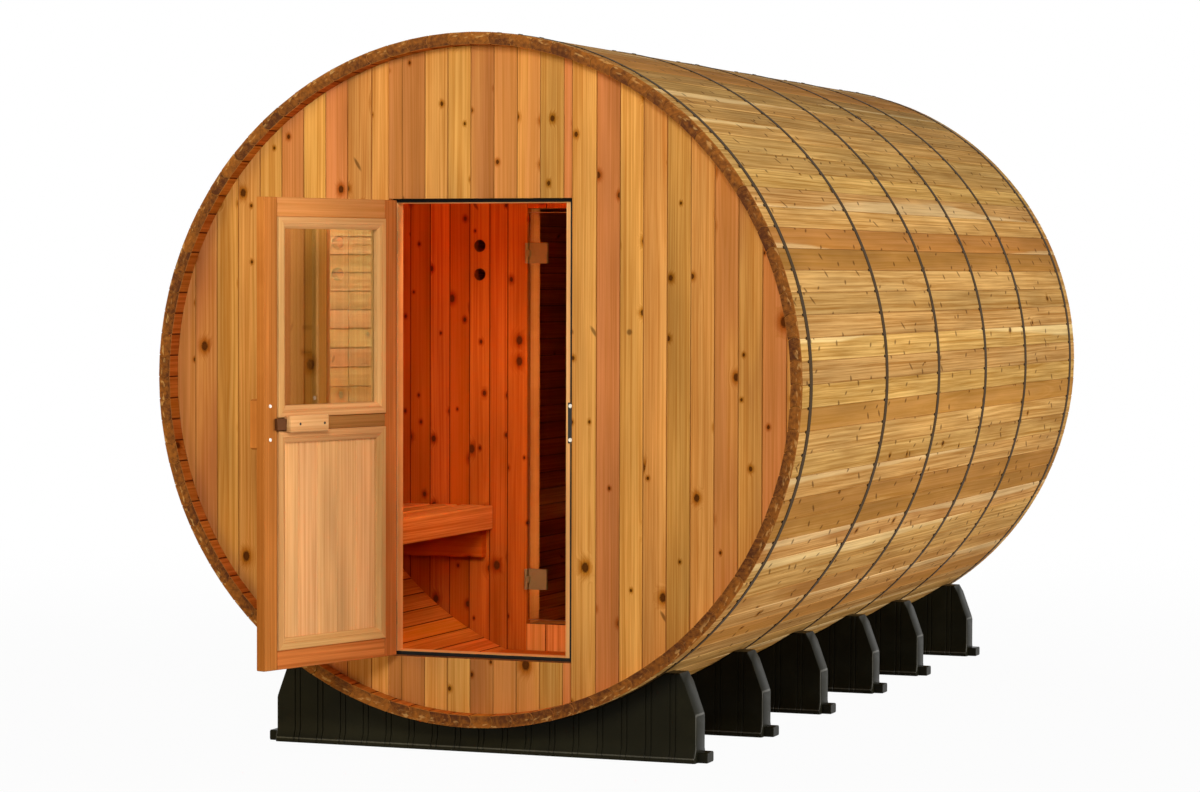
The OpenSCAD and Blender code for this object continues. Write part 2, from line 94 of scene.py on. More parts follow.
class SaunaSizes(bpy.types.PropertyGroup):
    """Sizes of the boards and fittings that the solids leave plain."""

    staves: IntProperty(name="Staves", description="Staves in each of the eight segments", default=12, min=4)
    stave_t: length("Stave thickness", "Thickness of a stave", 0.038)
    stave_bead: length("Stave bead", "How far a stave's round edge reaches into the next one's hollow", 0.008)
    stave_joint: length("Stave joint", "Cut on the long edges of a stave", 0.0020)
    stave_gap: length("Stave gap", "Room between two staves", 0.0008)
    stave_short: length("Stave ends", "Most that a stave end falls short of the rim", 0.0025)
    board_w: length("Board width", "Cover width of a wall board", 0.0757)
    board_v: length("Board joint", "Cut on the long edges of a wall board", 0.0017)
    board_gap: length("Board gap", "Room between two boards", 0.0003)
    room_board_w: length("Room board width", "Cover width of a board of the partition", 0.0735)
    floor_board_w: length("Floor board width", "Cover width of a floor board", 0.088)
    vent_d: length("Vent diameter", "Diameter of a vent hole", 0.039)
    vent_z: length("Vent height", "Height of the lower vent hole's middle", 1.480)
    vent_pitch: length("Vent pitch", "Spacing of the two vent holes", 0.098)
    flute_pitch: length("Flute pitch", "Spacing of the pairs of flutes on a cradle", 0.0786)
    flute_pair: length("Flute pair", "Spacing of the two flutes of a pair", 0.0176)
    flute_w: length("Flute width", "Width of a flute", 0.0056)
    flute_deep: length("Flute depth", "Depth of a flute", 0.0026)
    door_gap: length("Door gap", "Room round the outer door", 0.005)
    door_t: length("Door thickness", "Thickness of the outer door", 0.032)
    stile_w: length("Stile width", "Width of the door's stiles and end rails", 0.058)
    bead_w: length("Bead width", "Width of the beads round the door's glass and panel", 0.035)
    bead_proud: length("Bead height", "How far the beads stand proud of the door", 0.006)
    panel_t: length("Panel thickness", "Thickness of the door's lower panel", 0.012)
    window_t: length("Window thickness", "Thickness of the door's glass", 0.006)


class SaunaColours(bpy.types.PropertyGroup):
    """Colours of the woods, metals and plastics."""

    stave_pale: colour("Stave pale", "Pale wood of the staves", (0.74, 0.450, 0.155))
    stave_deep: colour("Stave deep", "Dark grain of the staves", (0.38, 0.172, 0.033))
    stave_heart: colour("Stave heartwood", "Pinkish heartwood of the staves", (0.53, 0.250, 0.070))
    inner_pale: colour("Inner stave pale", "Pale wood of the staves inside", (0.65, 0.205, 0.032))
    inner_deep: colour("Inner stave deep", "Dark grain of the staves inside", (0.37, 0.088, 0.009))
    wall_pale: colour("Wall pale", "Pale wood of the walls", (0.69, 0.348, 0.098))
    wall_deep: colour("Wall deep", "Dark grain of the walls", (0.48, 0.184, 0.034))
    wall_heart: colour("Wall heartwood", "Pinkish heartwood of the walls", (0.60, 0.235, 0.078))
    room_pale: colour("Room pale", "Pale wood of the changing room", (0.50, 0.128, 0.015))
    room_deep: colour("Room deep", "Dark grain of the changing room", (0.33, 0.060, 0.006))
    room_heart: colour("Room heartwood", "Red heartwood of the changing room", (0.42, 0.092, 0.010))
    floor_pale: colour("Floor pale", "Pale wood of the changing room's floor", (0.54, 0.128, 0.014))
    bench_pale: colour("Bench pale", "Pale wood of the bench and the inner sill", (0.72, 0.335, 0.082))
    bench_deep: colour("Bench deep", "Dark grain of the bench and the inner sill", (0.44, 0.146, 0.025))
    door_pale: colour("Door pale", "Pale wood of the door", (0.62, 0.218, 0.048))
    door_deep: colour("Door deep", "Dark grain of the door", (0.415, 0.124, 0.022))
    trim_pale: colour("Trim pale", "Pale wood of the panel and the door stop", (0.82, 0.470, 0.197))
    trim_deep: colour("Trim deep", "Dark grain of the panel and the door stop", (0.65, 0.305, 0.103))
    bead_pale: colour("Bead pale", "Pale wood of the beads", (0.70, 0.385, 0.150))
    bead_deep: colour("Bead deep", "Dark grain of the beads", (0.54, 0.245, 0.078))
    sap: colour("Sapwood", "Cream sapwood streaks", (0.80, 0.57, 0.26))
    knot: colour("Knot", "Heart of a knot", (0.060, 0.016, 0.003))
    end_light: colour("End light", "Lighter sawn end grain", (0.330, 0.108, 0.012))
    end_dark: colour("End dark", "Dark resin in the end grain", (0.075, 0.019, 0.003))
    chip: colour("Chip", "Pale torn chips in the end grain", (0.70, 0.40, 0.13))
    # Painted shade: the joint colours darken the grooves, gaps, cut ends and vent holes between boards, where
    # shade falls.
    joint_pale: colour("Joint", "Shaded wood in the joints between boards", (0.44, 0.185, 0.044))
    joint_deep: colour("Joint deep", "Dark grain in the joints between boards", (0.30, 0.108, 0.023))
    room_joint: colour("Room joint", "Shaded joints of the changing room", (0.13, 0.024, 0.003))
    rail: colour("Middle rail", "Darker wood of the door's middle rail", (0.36, 0.145, 0.042))
    rail_deep: colour("Middle rail deep", "Dark grain of the door's middle rail", (0.25, 0.090, 0.022))
    catch: colour("Catch", "Brown metal of the door's catch", (0.100, 0.035, 0.010))
    band: colour("Band", "Dark steel of the bands", (0.048, 0.026, 0.008))
    plastic: colour("Cradle", "Moulded plastic of the cradles", (0.0120, 0.0113, 0.0062))
    scuffed: colour("Cradle edge", "Rubbed edges of the cradles", (0.060, 0.058, 0.046))
    # Painted highlight: a lighter plastic on the cradles' edges, where they catch the light.
    rubber: colour("Seal", "Rubber of the door seal", (0.010, 0.010, 0.010))
    black_steel: colour("Keeper", "Black steel of the keeper and the catch", (0.020, 0.019, 0.018))
    hinge: colour("Hinge", "Bronzed metal of the hinges", (0.30, 0.200, 0.070))
    screw: colour("Screw", "Bright metal of the screws", (0.85, 0.84, 0.80))
    window: colour("Window", "Glass of the door's window", (0.82, 0.81, 0.75))
    glass_edge: colour("Glass edge", "Polished edges of the inner door's glass", (0.50, 0.24, 0.09))
    smoked: colour("Glass door", "Tinted glass of the inner door", (0.86, 0.66, 0.52))


def sizes():
    return bpy.context.scene.sauna_sizes


def colours():
    return bpy.context.scene.sauna_colours


def steady(number, salt=0.0):
    """A steady number from 0 to 1 for a whole number: the fraction left of a large sine."""
    return float(np.modf(abs(math.sin((number + 1.0) * 12.9898 + salt * 78.233) * 43758.5453))[0])


def circle_half(distance, radius):
    """Half the chord of a circle at a distance from its middle, and 0 outside it."""
    return np.sqrt(np.maximum(radius * radius - np.square(distance), 0.0))


def opened(points):
    """Turns points of the closed outer door about its pins to where the door stands open."""
    c, s = math.cos(-DOOR_OPEN), math.sin(-DOOR_OPEN)
    turn = np.array([[c, -s, 0.0], [s, c, 0.0], [0.0, 0.0, 1.0]])
    return (points - DOOR_PIVOT) @ turn.T + DOOR_PIVOT


X_AXIS, Y_AXIS, Z_AXIS = np.eye(3)
UPRIGHT = np.stack([X_AXIS, Y_AXIS, Z_AXIS])
CROSSWISE = np.stack([Z_AXIS, Y_AXIS, X_AXIS])
LENGTHWISE = np.stack([X_AXIS, Z_AXIS, Y_AXIS])
FLOORWISE = np.stack([Y_AXIS, Z_AXIS, X_AXIS])
EDGEWISE = np.stack([Z_AXIS, X_AXIS, Y_AXIS])


def cut_rectangle(width, depth, edge, steps=1):
    """Section of a board: a rectangle about 0 with its four edges cut off by edge,
    and steps spans on each wide face."""
    half, deep = width / 2, depth / 2
    face = np.linspace(edge - half, half - edge, steps + 1)
    across = np.concatenate([face, [half, half], face[::-1], [-half, -half]])
    inward = np.concatenate([
        np.full(steps + 1, -deep), [edge - deep, deep - edge],
        np.full(steps + 1, deep), [deep - edge, edge - deep],
    ])
    return np.column_stack([across, inward])


def joint_finish(steps, joint=2):
    """Finish of each side of a cut rectangle: 0 on the wide faces, and the joint's on the edges, whose darker
    wood is painted shade in the grooves between boards.
    """
    face, edge = [0] * steps, [joint] * 3
    return np.array([face + edge + face + edge])


def carry(section, low, high, draw_in=0.0):
    """Rings of a section carried straight along from low to high, which may differ at each corner.
    With draw_in, the rings at both ends are drawn in by that much to cut off the end edges."""
    section = np.asarray(section, float)
    low = np.broadcast_to(np.asarray(low, float), len(section))
    high = np.broadcast_to(np.asarray(high, float), len(section))
    if draw_in <= 0:
        return np.stack([np.column_stack([section, low]), np.column_stack([section, high])])
    middle = (section.max(0) + section.min(0)) / 2
    half = (section.max(0) - section.min(0)) / 2
    small = middle + (section - middle) * (1 - draw_in / half)
    return np.stack([
        np.column_stack([small, low]),
        np.column_stack([section, low + draw_in]),
        np.column_stack([section, high - draw_in]),
        np.column_stack([small, high]),
    ])


def lathe(profile, sides=20):
    """Rings of a profile of radius and height turned about the third axis."""
    profile = np.asarray(profile, float)
    angle = np.arange(sides) * FULL_TURN / sides
    radius, height = profile[:, :1], profile[:, 1:]
    return np.stack([radius * np.cos(angle), radius * np.sin(angle), height + 0 * angle], axis=-1)


def signed_volume(corners, faces):
    """Six times the volume that the faces close, from fans of triangles."""
    total = 0.0
    for polygon in faces:
        first = corners[polygon[:, 0]]
        for k in range(1, polygon.shape[1] - 1):
            total += np.einsum("ij,ij->", first, np.cross(corners[polygon[:, k]], corners[polygon[:, k + 1]]))
    return total


class Stock:
    """Gathers the boards or fittings of one piece, each a closed grid of rings, and joins them into one mesh.
    Each corner keeps its place in its own board (across, in depth and along) and the board's number."""

    def __init__(self, turn=None):
        self.turn = turn
        self.total = 0
        self.corners, self.faces, self.finish, self.grain, self.board = [], [], [], [], []

    def add(self, rings, origin=(0, 0, 0), axes=UPRIGHT, board=0.5, finish=0, end_finish=None, loop=False):
        """Adds one grid. finish is one number, or one for each face as rows and columns of the grid."""
        m, n = rings.shape[:2]
        local = rings.reshape(-1, 3)
        corners = np.asarray(origin, float) + local @ axes
        if self.turn is not None:
            corners = self.turn(corners)
        index = np.arange(m * n).reshape(m, n)
        rows = index if loop else index[:-1]
        later = np.roll(index, -1, 0) if loop else index[1:]
        quads = np.stack([rows, np.roll(rows, -1, 1), np.roll(later, -1, 1), later], -1).reshape(-1, 4)
        faces = [quads] if loop else [quads, index[:1, ::-1], index[-1:]]
        if signed_volume(corners - corners.mean(0), faces) < 0:
            faces = [f[:, ::-1] for f in faces]
        sides = np.broadcast_to(finish, rows.shape).ravel()
        ends = sides[0] if end_finish is None else end_finish
        for k, f in enumerate(faces):
            self.faces.append(f + self.total)
            self.finish.append(np.full(len(f), ends) if k else sides)
        self.corners.append(corners)
        self.grain.append(local)
        self.board.append(np.full(len(local), board))
        self.total += len(local)

    def piece(self, name, body, node, slot, finishes):
        """Puts the gathered grids into a mesh object that rides on a body and stands for a CAD node."""
        mesh = bpy.data.meshes.new(name)
        corners = np.concatenate(self.corners).astype(np.float32)
        flat = np.concatenate([f.ravel() for f in self.faces]).astype(np.int32)
        counts = np.concatenate([np.full(len(f), f.shape[1]) for f in self.faces])
        starts = np.concatenate([[0], np.cumsum(counts)[:-1]]).astype(np.int32)
        mesh.vertices.add(len(corners))
        mesh.vertices.foreach_set("co", corners.ravel())
        mesh.loops.add(len(flat))
        mesh.loops.foreach_set("vertex_index", flat)
        mesh.polygons.add(len(starts))
        mesh.polygons.foreach_set("loop_start", starts)
        for finish in finishes:
            mesh.materials.append(made_of(finish))
        mesh.polygons.foreach_set("material_index", np.concatenate(self.finish).astype(np.int32))
        mesh.polygons.foreach_set("use_smooth", np.ones(len(starts), dtype=bool))
        mesh.update(calc_edges=True)
        mesh.validate()
        mesh.set_sharp_from_angle(angle=math.radians(30))
        grain = mesh.attributes.new("grain", "FLOAT_VECTOR", "POINT")
        grain.data.foreach_set("vector", np.concatenate(self.grain).astype(np.float32).ravel())
        board = mesh.attributes.new("board", "FLOAT", "POINT")
        board.data.foreach_set("value", np.concatenate(self.board).astype(np.float32))
        piece = bpy.data.objects.new(name, mesh)
        bpy.context.scene.collection.objects.link(piece)
        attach(piece, body)
        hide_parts(node)


class Wire:
    """A node's output. Sums and comparisons with it lay out Math nodes."""

    def __init__(self, graph, socket):
        self.graph, self.socket = graph, socket

    def __add__(self, other):
        return self.graph.math("ADD", self, other)

    def __sub__(self, other):
        return self.graph.math("SUBTRACT", self, other)

    def __rsub__(self, other):
        return self.graph.math("SUBTRACT", other, self)

    def __mul__(self, other):
        return self.graph.math("MULTIPLY", self, other)

    def __truediv__(self, other):
        return self.graph.math("DIVIDE", self, other)

    def __lt__(self, other):
        return self.graph.math("LESS_THAN", self, other)


class Graph:
    """Short words for laying out the nodes of a material or a group."""

    def __init__(self, tree):
        self.tree = tree

    def node(self, kind, **settings):
        made = self.tree.nodes.new(kind)
        for key, value in settings.items():
            setattr(made, key, value)
        return made

    def put(self, socket, value):
        if isinstance(value, Wire):
            self.tree.links.new(value.socket, socket)
        elif value is not None:
            socket.default_value = value

    def feed(self, made, **values):
        """Fills a node's inputs by name, and gives its first output."""
        for word, value in values.items():
            self.put(made.inputs[word], value)
        return Wire(self, made.outputs[0])

    def math(self, operation, a, b=None, clamp=False):
        made = self.node("ShaderNodeMath", operation=operation, use_clamp=clamp)
        self.put(made.inputs[0], a)
        self.put(made.inputs[1], b)
        return Wire(self, made.outputs[0])

    def far(self, a, b):
        """Length of the two sides a and b of a right angle."""
        return self.math("SQRT", a * a + b * b)

    def vector(self, x=0.0, y=0.0, z=0.0):
        return self.feed(self.node("ShaderNodeCombineXYZ"), X=x, Y=y, Z=z)

    def split(self, vector):
        made = self.node("ShaderNodeSeparateXYZ")
        self.put(made.inputs[0], vector)
        return [Wire(self, output) for output in made.outputs]

    def noise(self, place, scale=1.0, detail=2.0, rough=0.5):
        return self.feed(
            self.node("ShaderNodeTexNoise"), Vector=place, Scale=scale, Detail=detail, Roughness=rough
        )

    def ripple(self, place, detail=2.0, rough=0.5):
        """Noise along a single number."""
        made = self.node("ShaderNodeTexNoise", noise_dimensions="1D")
        return self.feed(made, W=place, Scale=1.0, Detail=detail, Roughness=rough)

    def step(self, value, low, high, out_low=0.0, out_high=1.0):
        made = self.node("ShaderNodeMapRange", interpolation_type="SMOOTHSTEP")
        for socket, number in zip(made.inputs, (value, low, high, out_low, out_high)):
            self.put(socket, number)
        return Wire(self, made.outputs[0])

    def fade(self, value, low, high):
        return self.step(value, low, high, 1.0, 0.0)

    def mix(self, share, a, b):
        made = self.node("ShaderNodeMix", data_type="RGBA")
        for number, value in ((0, share), (6, a), (7, b)):
            self.put(made.inputs[number], value)
        return Wire(self, made.outputs[2])

    def tinted(self, tone, hue=0.5, saturation=1.0, value=1.0):
        made = self.node("ShaderNodeHueSaturation")
        return self.feed(made, Color=tone, Hue=hue, Saturation=saturation, Value=value)

    def attribute(self, name, output):
        return Wire(self, self.node("ShaderNodeAttribute", attribute_name=name).outputs[output])

    def place(self):
        return Wire(self, self.node("ShaderNodeTexCoord").outputs["Object"])

    def blend(self, share, a, b):
        """A mix of two shader nodes."""
        made = self.node("ShaderNodeMixShader")
        self.put(made.inputs[0], share)
        for number, shader in ((1, a), (2, b)):
            self.tree.links.new(shader.outputs[0], made.inputs[number])
        return made

    def show(self, shader, output):
        self.tree.links.new(shader.outputs[0], self.tree.nodes[output].inputs["Surface"])

    def scatter(self, x, z, width, run, shift_x, shift_z):
        """Spots by chance, one in each cell of a width and a run: the way from the nearest one,
        across and along, and two of its own numbers from 0 to 1."""
        cells = self.node("ShaderNodeTexVoronoi", voronoi_dimensions="2D", feature="F1")
        at_x = x / width + shift_x
        at_z = z / run + shift_z
        self.feed(cells, Vector=self.vector(at_x, at_z), Scale=1.0)
        spot_x, spot_z, _ = self.split(Wire(self, cells.outputs["Position"]))
        first, second, _ = self.split(Wire(self, cells.outputs["Color"]))
        return (at_x - spot_x) * width, (at_z - spot_z) * run, first, second


NUMBER, VECTOR, COLOUR = "NodeSocketFloat", "NodeSocketVector", "NodeSocketColor"


def new_group(name, inputs, outputs):
    """An empty shader group with named sockets, and its graph, input wires and output sockets."""
    tree = bpy.data.node_groups.new(name, "ShaderNodeTree")
    for kind, words in inputs:
        for word in words:
            tree.interface.new_socket(name=word, in_out="INPUT", socket_type=kind)
    for kind, words in outputs:
        for word in words:
            tree.interface.new_socket(name=word, in_out="OUTPUT", socket_type=kind)
    g = Graph(tree)
    given = g.node("NodeGroupInput").outputs
    wires = {socket.name: Wire(g, socket) for socket in given if socket.name}
    return tree, g, wires, g.node("NodeGroupOutput").inputs


def stem_rings(g, x, y, z, luck):
    """Distance from the middle of the stem that a board was cut from: the stem lies behind the board's face,
    off to one side by chance, and wanders slowly along the board."""
    start = luck[0] * 61.0
    slow = g.noise(g.vector(start, 0.0, z * 0.5))
    side = g.noise(g.vector(0.0, start, z * 0.6))
    across = x - (luck[1] - 0.5) * 0.26 + (slow - 0.5) * 0.045
    behind = y + (luck[2] * 0.08 + 0.015) + (side - 0.5) * 0.035
    return g.far(across, behind)


def board_luck(g, board):
    """Four steady numbers from 0 to 1 for each board number."""
    turns = ((7.131, 0.11), (13.717, 0.37), (29.313, 0.71), (53.937, 0.13))
    return [g.math("FRACT", board * factor + shift) for factor, shift in turns]


def cedar_group():
    """Knotty cedar on a board's own coordinates: streaks along growth rings, cream sapwood past a ring,
    reddish heartwood by board, round knots that push the rings aside, short dark ticks across the grain,
    and fine fibre."""
    tree, g, given, out = new_group(
        "knotty_cedar",
        [
            (VECTOR, ["Grain"]), (NUMBER, ["Board"]), (COLOUR, ["Pale", "Deep", "Heart", "Sap", "Knot"]),
            (NUMBER, ["Knots", "Knot Size", "Ticks", "Sapwood", "Heartwood", "Variety"]),
        ],
        [(COLOUR, ["Colour"]), (NUMBER, ["Height", "Roughness"])],
    )
    x, y, z = g.split(given["Grain"])
    luck = board_luck(g, given["Board"])

    knot_x, knot_z, size_luck, there_luck = g.scatter(x, z, 0.075, 0.22, luck[2] * 91.0, luck[3] * 57.0)
    radius = (size_luck * size_luck * 0.0085 + 0.0032) * given["Knot Size"]
    ragged = g.noise(g.vector(x * 260.0, y, z * 260.0), detail=1.0)
    apart = g.far(knot_x, knot_z * 0.72) / radius + (ragged - 0.5) * 0.5
    there = there_luck < given["Knots"]
    knot = g.fade(apart, 0.60, 1.15) * there
    halo = g.fade(apart, 0.9, 3.2) * there
    ring = stem_rings(g, x, y, z, luck) + halo * radius * 1.3

    streak_at = ring * 170.0 + luck[1] * 300.0
    streak = g.ripple(streak_at, 4.0, 0.66)
    broad = g.ripple(streak_at * 0.16, 1.0)
    fibre = g.noise(g.vector(x * 520.0, y * 520.0, z * 7.0))
    lines = g.noise(g.vector(x * 120.0, luck[0] * 40.0, z * 1.3), detail=5.0, rough=0.68)
    cloud = g.noise(g.vector(x * 12.0, luck[3] * 40.0, z * 1.9))
    grain = (g.step(streak, 0.34, 0.70) + (fibre - 0.5) * 0.9) * 0.40
    grain = grain + g.step(broad, 0.35, 0.68) * 0.14 + g.step(lines, 0.36, 0.62) * 0.56
    share = g.math("MULTIPLY", grain, 1.0, clamp=True)
    red = given["Heartwood"]
    heart = g.fade(luck[3] + (cloud - 0.5) * 0.5, red - 0.09, red + 0.09)
    dusk = g.tinted(given["Heart"], saturation=1.06, value=0.78)
    wood = g.mix(share, g.mix(heart, given["Pale"], given["Heart"]), g.mix(heart, given["Deep"], dusk))

    inset = 0.036 - x * g.math("SIGN", luck[1] - 0.5)
    reach = g.ripple(z * 0.32 + luck[0] * 90.0, 3.0)
    cream = (reach - 0.42) * 0.15 - inset + (lines - 0.5) * 0.038
    sap = g.step(cream, -0.003, 0.005) * (luck[2] < given["Sapwood"])
    wood = g.mix(sap * (0.95 - share * 0.5), wood, given["Sap"])

    tilt = (luck[3] - 0.5) * x * 5.0
    shade = (luck[1] - 0.5) * given["Variety"] + tilt + (cloud * 0.7 + 0.65)
    wood = g.tinted(wood, hue=luck[0] * 0.012 + 0.494, value=shade)

    over, along, lean, mark_luck = g.scatter(x, z, 0.060, 0.170, luck[0] * 37.0, luck[1] * 73.0)
    slanted = along + over * (lean * 3.2 - 1.6)
    mark = g.far(over / (lean * 0.009 + 0.006), slanted / 0.0110)
    mark = g.fade(mark, 0.45, 1.15) * (mark_luck < given["Ticks"])

    stain = g.tinted(wood, hue=0.484, saturation=1.15, value=0.58)
    wood = g.mix(halo * halo * 0.8, wood, stain)
    core = g.ripple(apart * 4.0, 1.0)
    wood = g.mix(knot * g.step(core, 0.25, 0.65, 1.0, 0.88), wood, given["Knot"])
    wood = g.mix(mark * 0.66, wood, given["Knot"])
    g.put(out["Colour"], wood)
    g.put(out["Height"], streak * 0.35 + fibre * 0.35 - g.math("MAXIMUM", knot, mark) * 0.4)
    g.put(out["Roughness"], streak * 0.18 + (0.56 - knot * 0.08))
    return tree


def end_grain_group():
    """Sawn end grain: growth rings seen end on, blotches of dark resin, pale torn chips towards the outside
    and the scratches of the saw."""
    tree, g, given, out = new_group(
        "end_grain",
        [(VECTOR, ["Grain"]), (NUMBER, ["Board"]), (COLOUR, ["Light", "Dark", "Chip"]), (NUMBER, ["Chips"])],
        [(COLOUR, ["Colour"]), (NUMBER, ["Height"])],
    )
    x, y, _ = g.split(given["Grain"])
    luck = board_luck(g, given["Board"])
    band = g.ripple(stem_rings(g, x, y, 0.0, luck) * 420.0, 2.0, 0.7)
    blotch = g.noise(g.vector(x * 75.0, y * 75.0, luck[0] * 30.0), detail=4.0)
    saw = g.noise(g.vector(x * 900.0, y * 90.0, luck[1] * 30.0))
    share = band * 0.35 + blotch * 0.75 + (luck[2] - 0.5) * 0.20 + y * 5.0
    wood = g.mix(g.step(share, 0.30, 0.82), given["Dark"], given["Light"])
    torn = g.noise(g.vector(x * 38.0 + y * 25.0, y * 90.0, luck[3] * 50.0))
    torn = g.step(torn, 0.55, 0.66) * g.step(y, -0.006, 0.006)
    g.put(out["Colour"], g.mix(torn * given["Chips"], wood, given["Chip"]))
    g.put(out["Height"], saw * 0.6 + band * 0.4)
    return tree


def wear_group():
    """Fine speckle and slow blotches for metals, plastic and rubber, on Object coordinates."""
    tree, g, given, out = new_group(
        "surface_wear",
        [(VECTOR, ["Place"]), (COLOUR, ["Tone", "Worn"]), (NUMBER, ["Fine"])],
        [(COLOUR, ["Colour"]), (NUMBER, ["Height", "Mask"])],
    )
    fine = g.noise(given["Place"], scale=given["Fine"])
    slow = g.noise(given["Place"], scale=9.0, detail=4.0, rough=0.6)
    mask = g.step(fine * 0.4 + slow * 0.6, 0.42, 0.70)
    g.put(out["Colour"], g.mix(mask, given["Tone"], given["Worn"]))
    g.put(out["Height"], fine)
    g.put(out["Mask"], mask)
    return tree


def tone(name, factor=1.0):
    """A named colour times a factor, as a shader's socket takes it."""
    return tuple(min(1.0, c * factor) for c in getattr(colours(), name)) + (1.0,)


def new_material(name):
    """A material with only its Principled shader, and its graph."""
    material = bpy.data.materials.new(name)
    material.use_nodes = True
    return material, Graph(material.node_tree), material.node_tree.nodes["Principled BSDF"]


def place_group(g, name, build, values):
    """Places a shared group in a material, built the first time, and gives its output wires."""
    made = g.node("ShaderNodeGroup", node_tree=bpy.data.node_groups.get(name) or build())
    for word, value in values.items():
        g.put(made.inputs[word], value)
    return {socket.name: Wire(g, socket) for socket in made.outputs}


def bump(g, shader, height, strength, distance):
    made = g.node("ShaderNodeBump")
    g.put(shader.inputs["Normal"], g.feed(made, Strength=strength, Distance=distance, Height=height))


def on_board(g):
    """What a wood reads from its board: the place in it and its number."""
    return {"Grain": g.attribute("grain", "Vector"), "Board": g.attribute("board", "Fac")}


def cedar(name, pale, deep, heart, knots, knot_size, ticks, sapwood, heartwood, variety):
    """Satin cedar boards: the cedar group's colour, roughness and relief on the Principled shader."""
    material, g, shader = new_material(name)
    made = place_group(g, "knotty_cedar", cedar_group, {
        **on_board(g), "Pale": tone(pale), "Deep": tone(deep), "Heart": tone(heart), "Sap": tone("sap"),
        "Knot": tone("knot"), "Knots": knots, "Knot Size": knot_size, "Ticks": ticks,
        "Sapwood": sapwood, "Heartwood": heartwood, "Variety": variety,
    })
    g.put(shader.inputs["Base Color"], made["Colour"])
    g.put(shader.inputs["Roughness"], made["Roughness"])
    g.put(shader.inputs["Specular IOR Level"], 0.006)
    bump(g, shader, made["Height"], 0.25, 0.0012)
    return material


def plain_cedar(name, pale, deep):
    """Clear cedar without knots, nearly the same from board to board."""
    return cedar(name, pale, deep, pale, 0.0, 1.0, 0.0, 0.0, 0.0, 0.1)


def end_grain(name, chips):
    """Rough sawn end grain, matt."""
    material, g, shader = new_material(name)
    made = place_group(g, "end_grain", end_grain_group, {
        **on_board(g), "Light": tone("end_light"), "Dark": tone("end_dark"),
        "Chip": tone("chip"), "Chips": chips,
    })
    g.put(shader.inputs["Base Color"], made["Colour"])
    g.put(shader.inputs["Roughness"], 0.8)
    g.put(shader.inputs["Specular IOR Level"], 0.2)
    bump(g, shader, made["Height"], 0.5, 0.002)
    return material


def worn(name, colour_name, metallic, rough, worn_factor, fine, relief=0.15, specular=0.5):
    """Metal, plastic or rubber: one tone with worn patches, speckled roughness and a little relief."""
    material, g, shader = new_material(name)
    made = place_group(g, "surface_wear", wear_group, {
        "Place": g.place(), "Tone": tone(colour_name), "Worn": tone(colour_name, worn_factor), "Fine": fine,
    })
    g.put(shader.inputs["Base Color"], made["Colour"])
    g.put(shader.inputs["Roughness"], made["Mask"] * 0.15 + rough)
    g.put(shader.inputs["Metallic"], metallic)
    g.put(shader.inputs["Specular IOR Level"], specular)
    bump(g, shader, made["Height"], relief, 0.0006)
    return material


def glass(name, colour_name, rough, ior):
    """Flat glass: full transmission with a tint, and a faint film of dust in its roughness."""
    material, g, shader = new_material(name)
    film = g.noise(g.place(), scale=5.0, detail=3.0)
    g.put(shader.inputs["Base Color"], tone(colour_name))
    g.put(shader.inputs["Roughness"], g.step(film, 0.35, 0.75, rough, rough + 0.015))
    g.put(shader.inputs["Transmission Weight"], 1.0)
    g.put(shader.inputs["IOR"], ior)
    return material


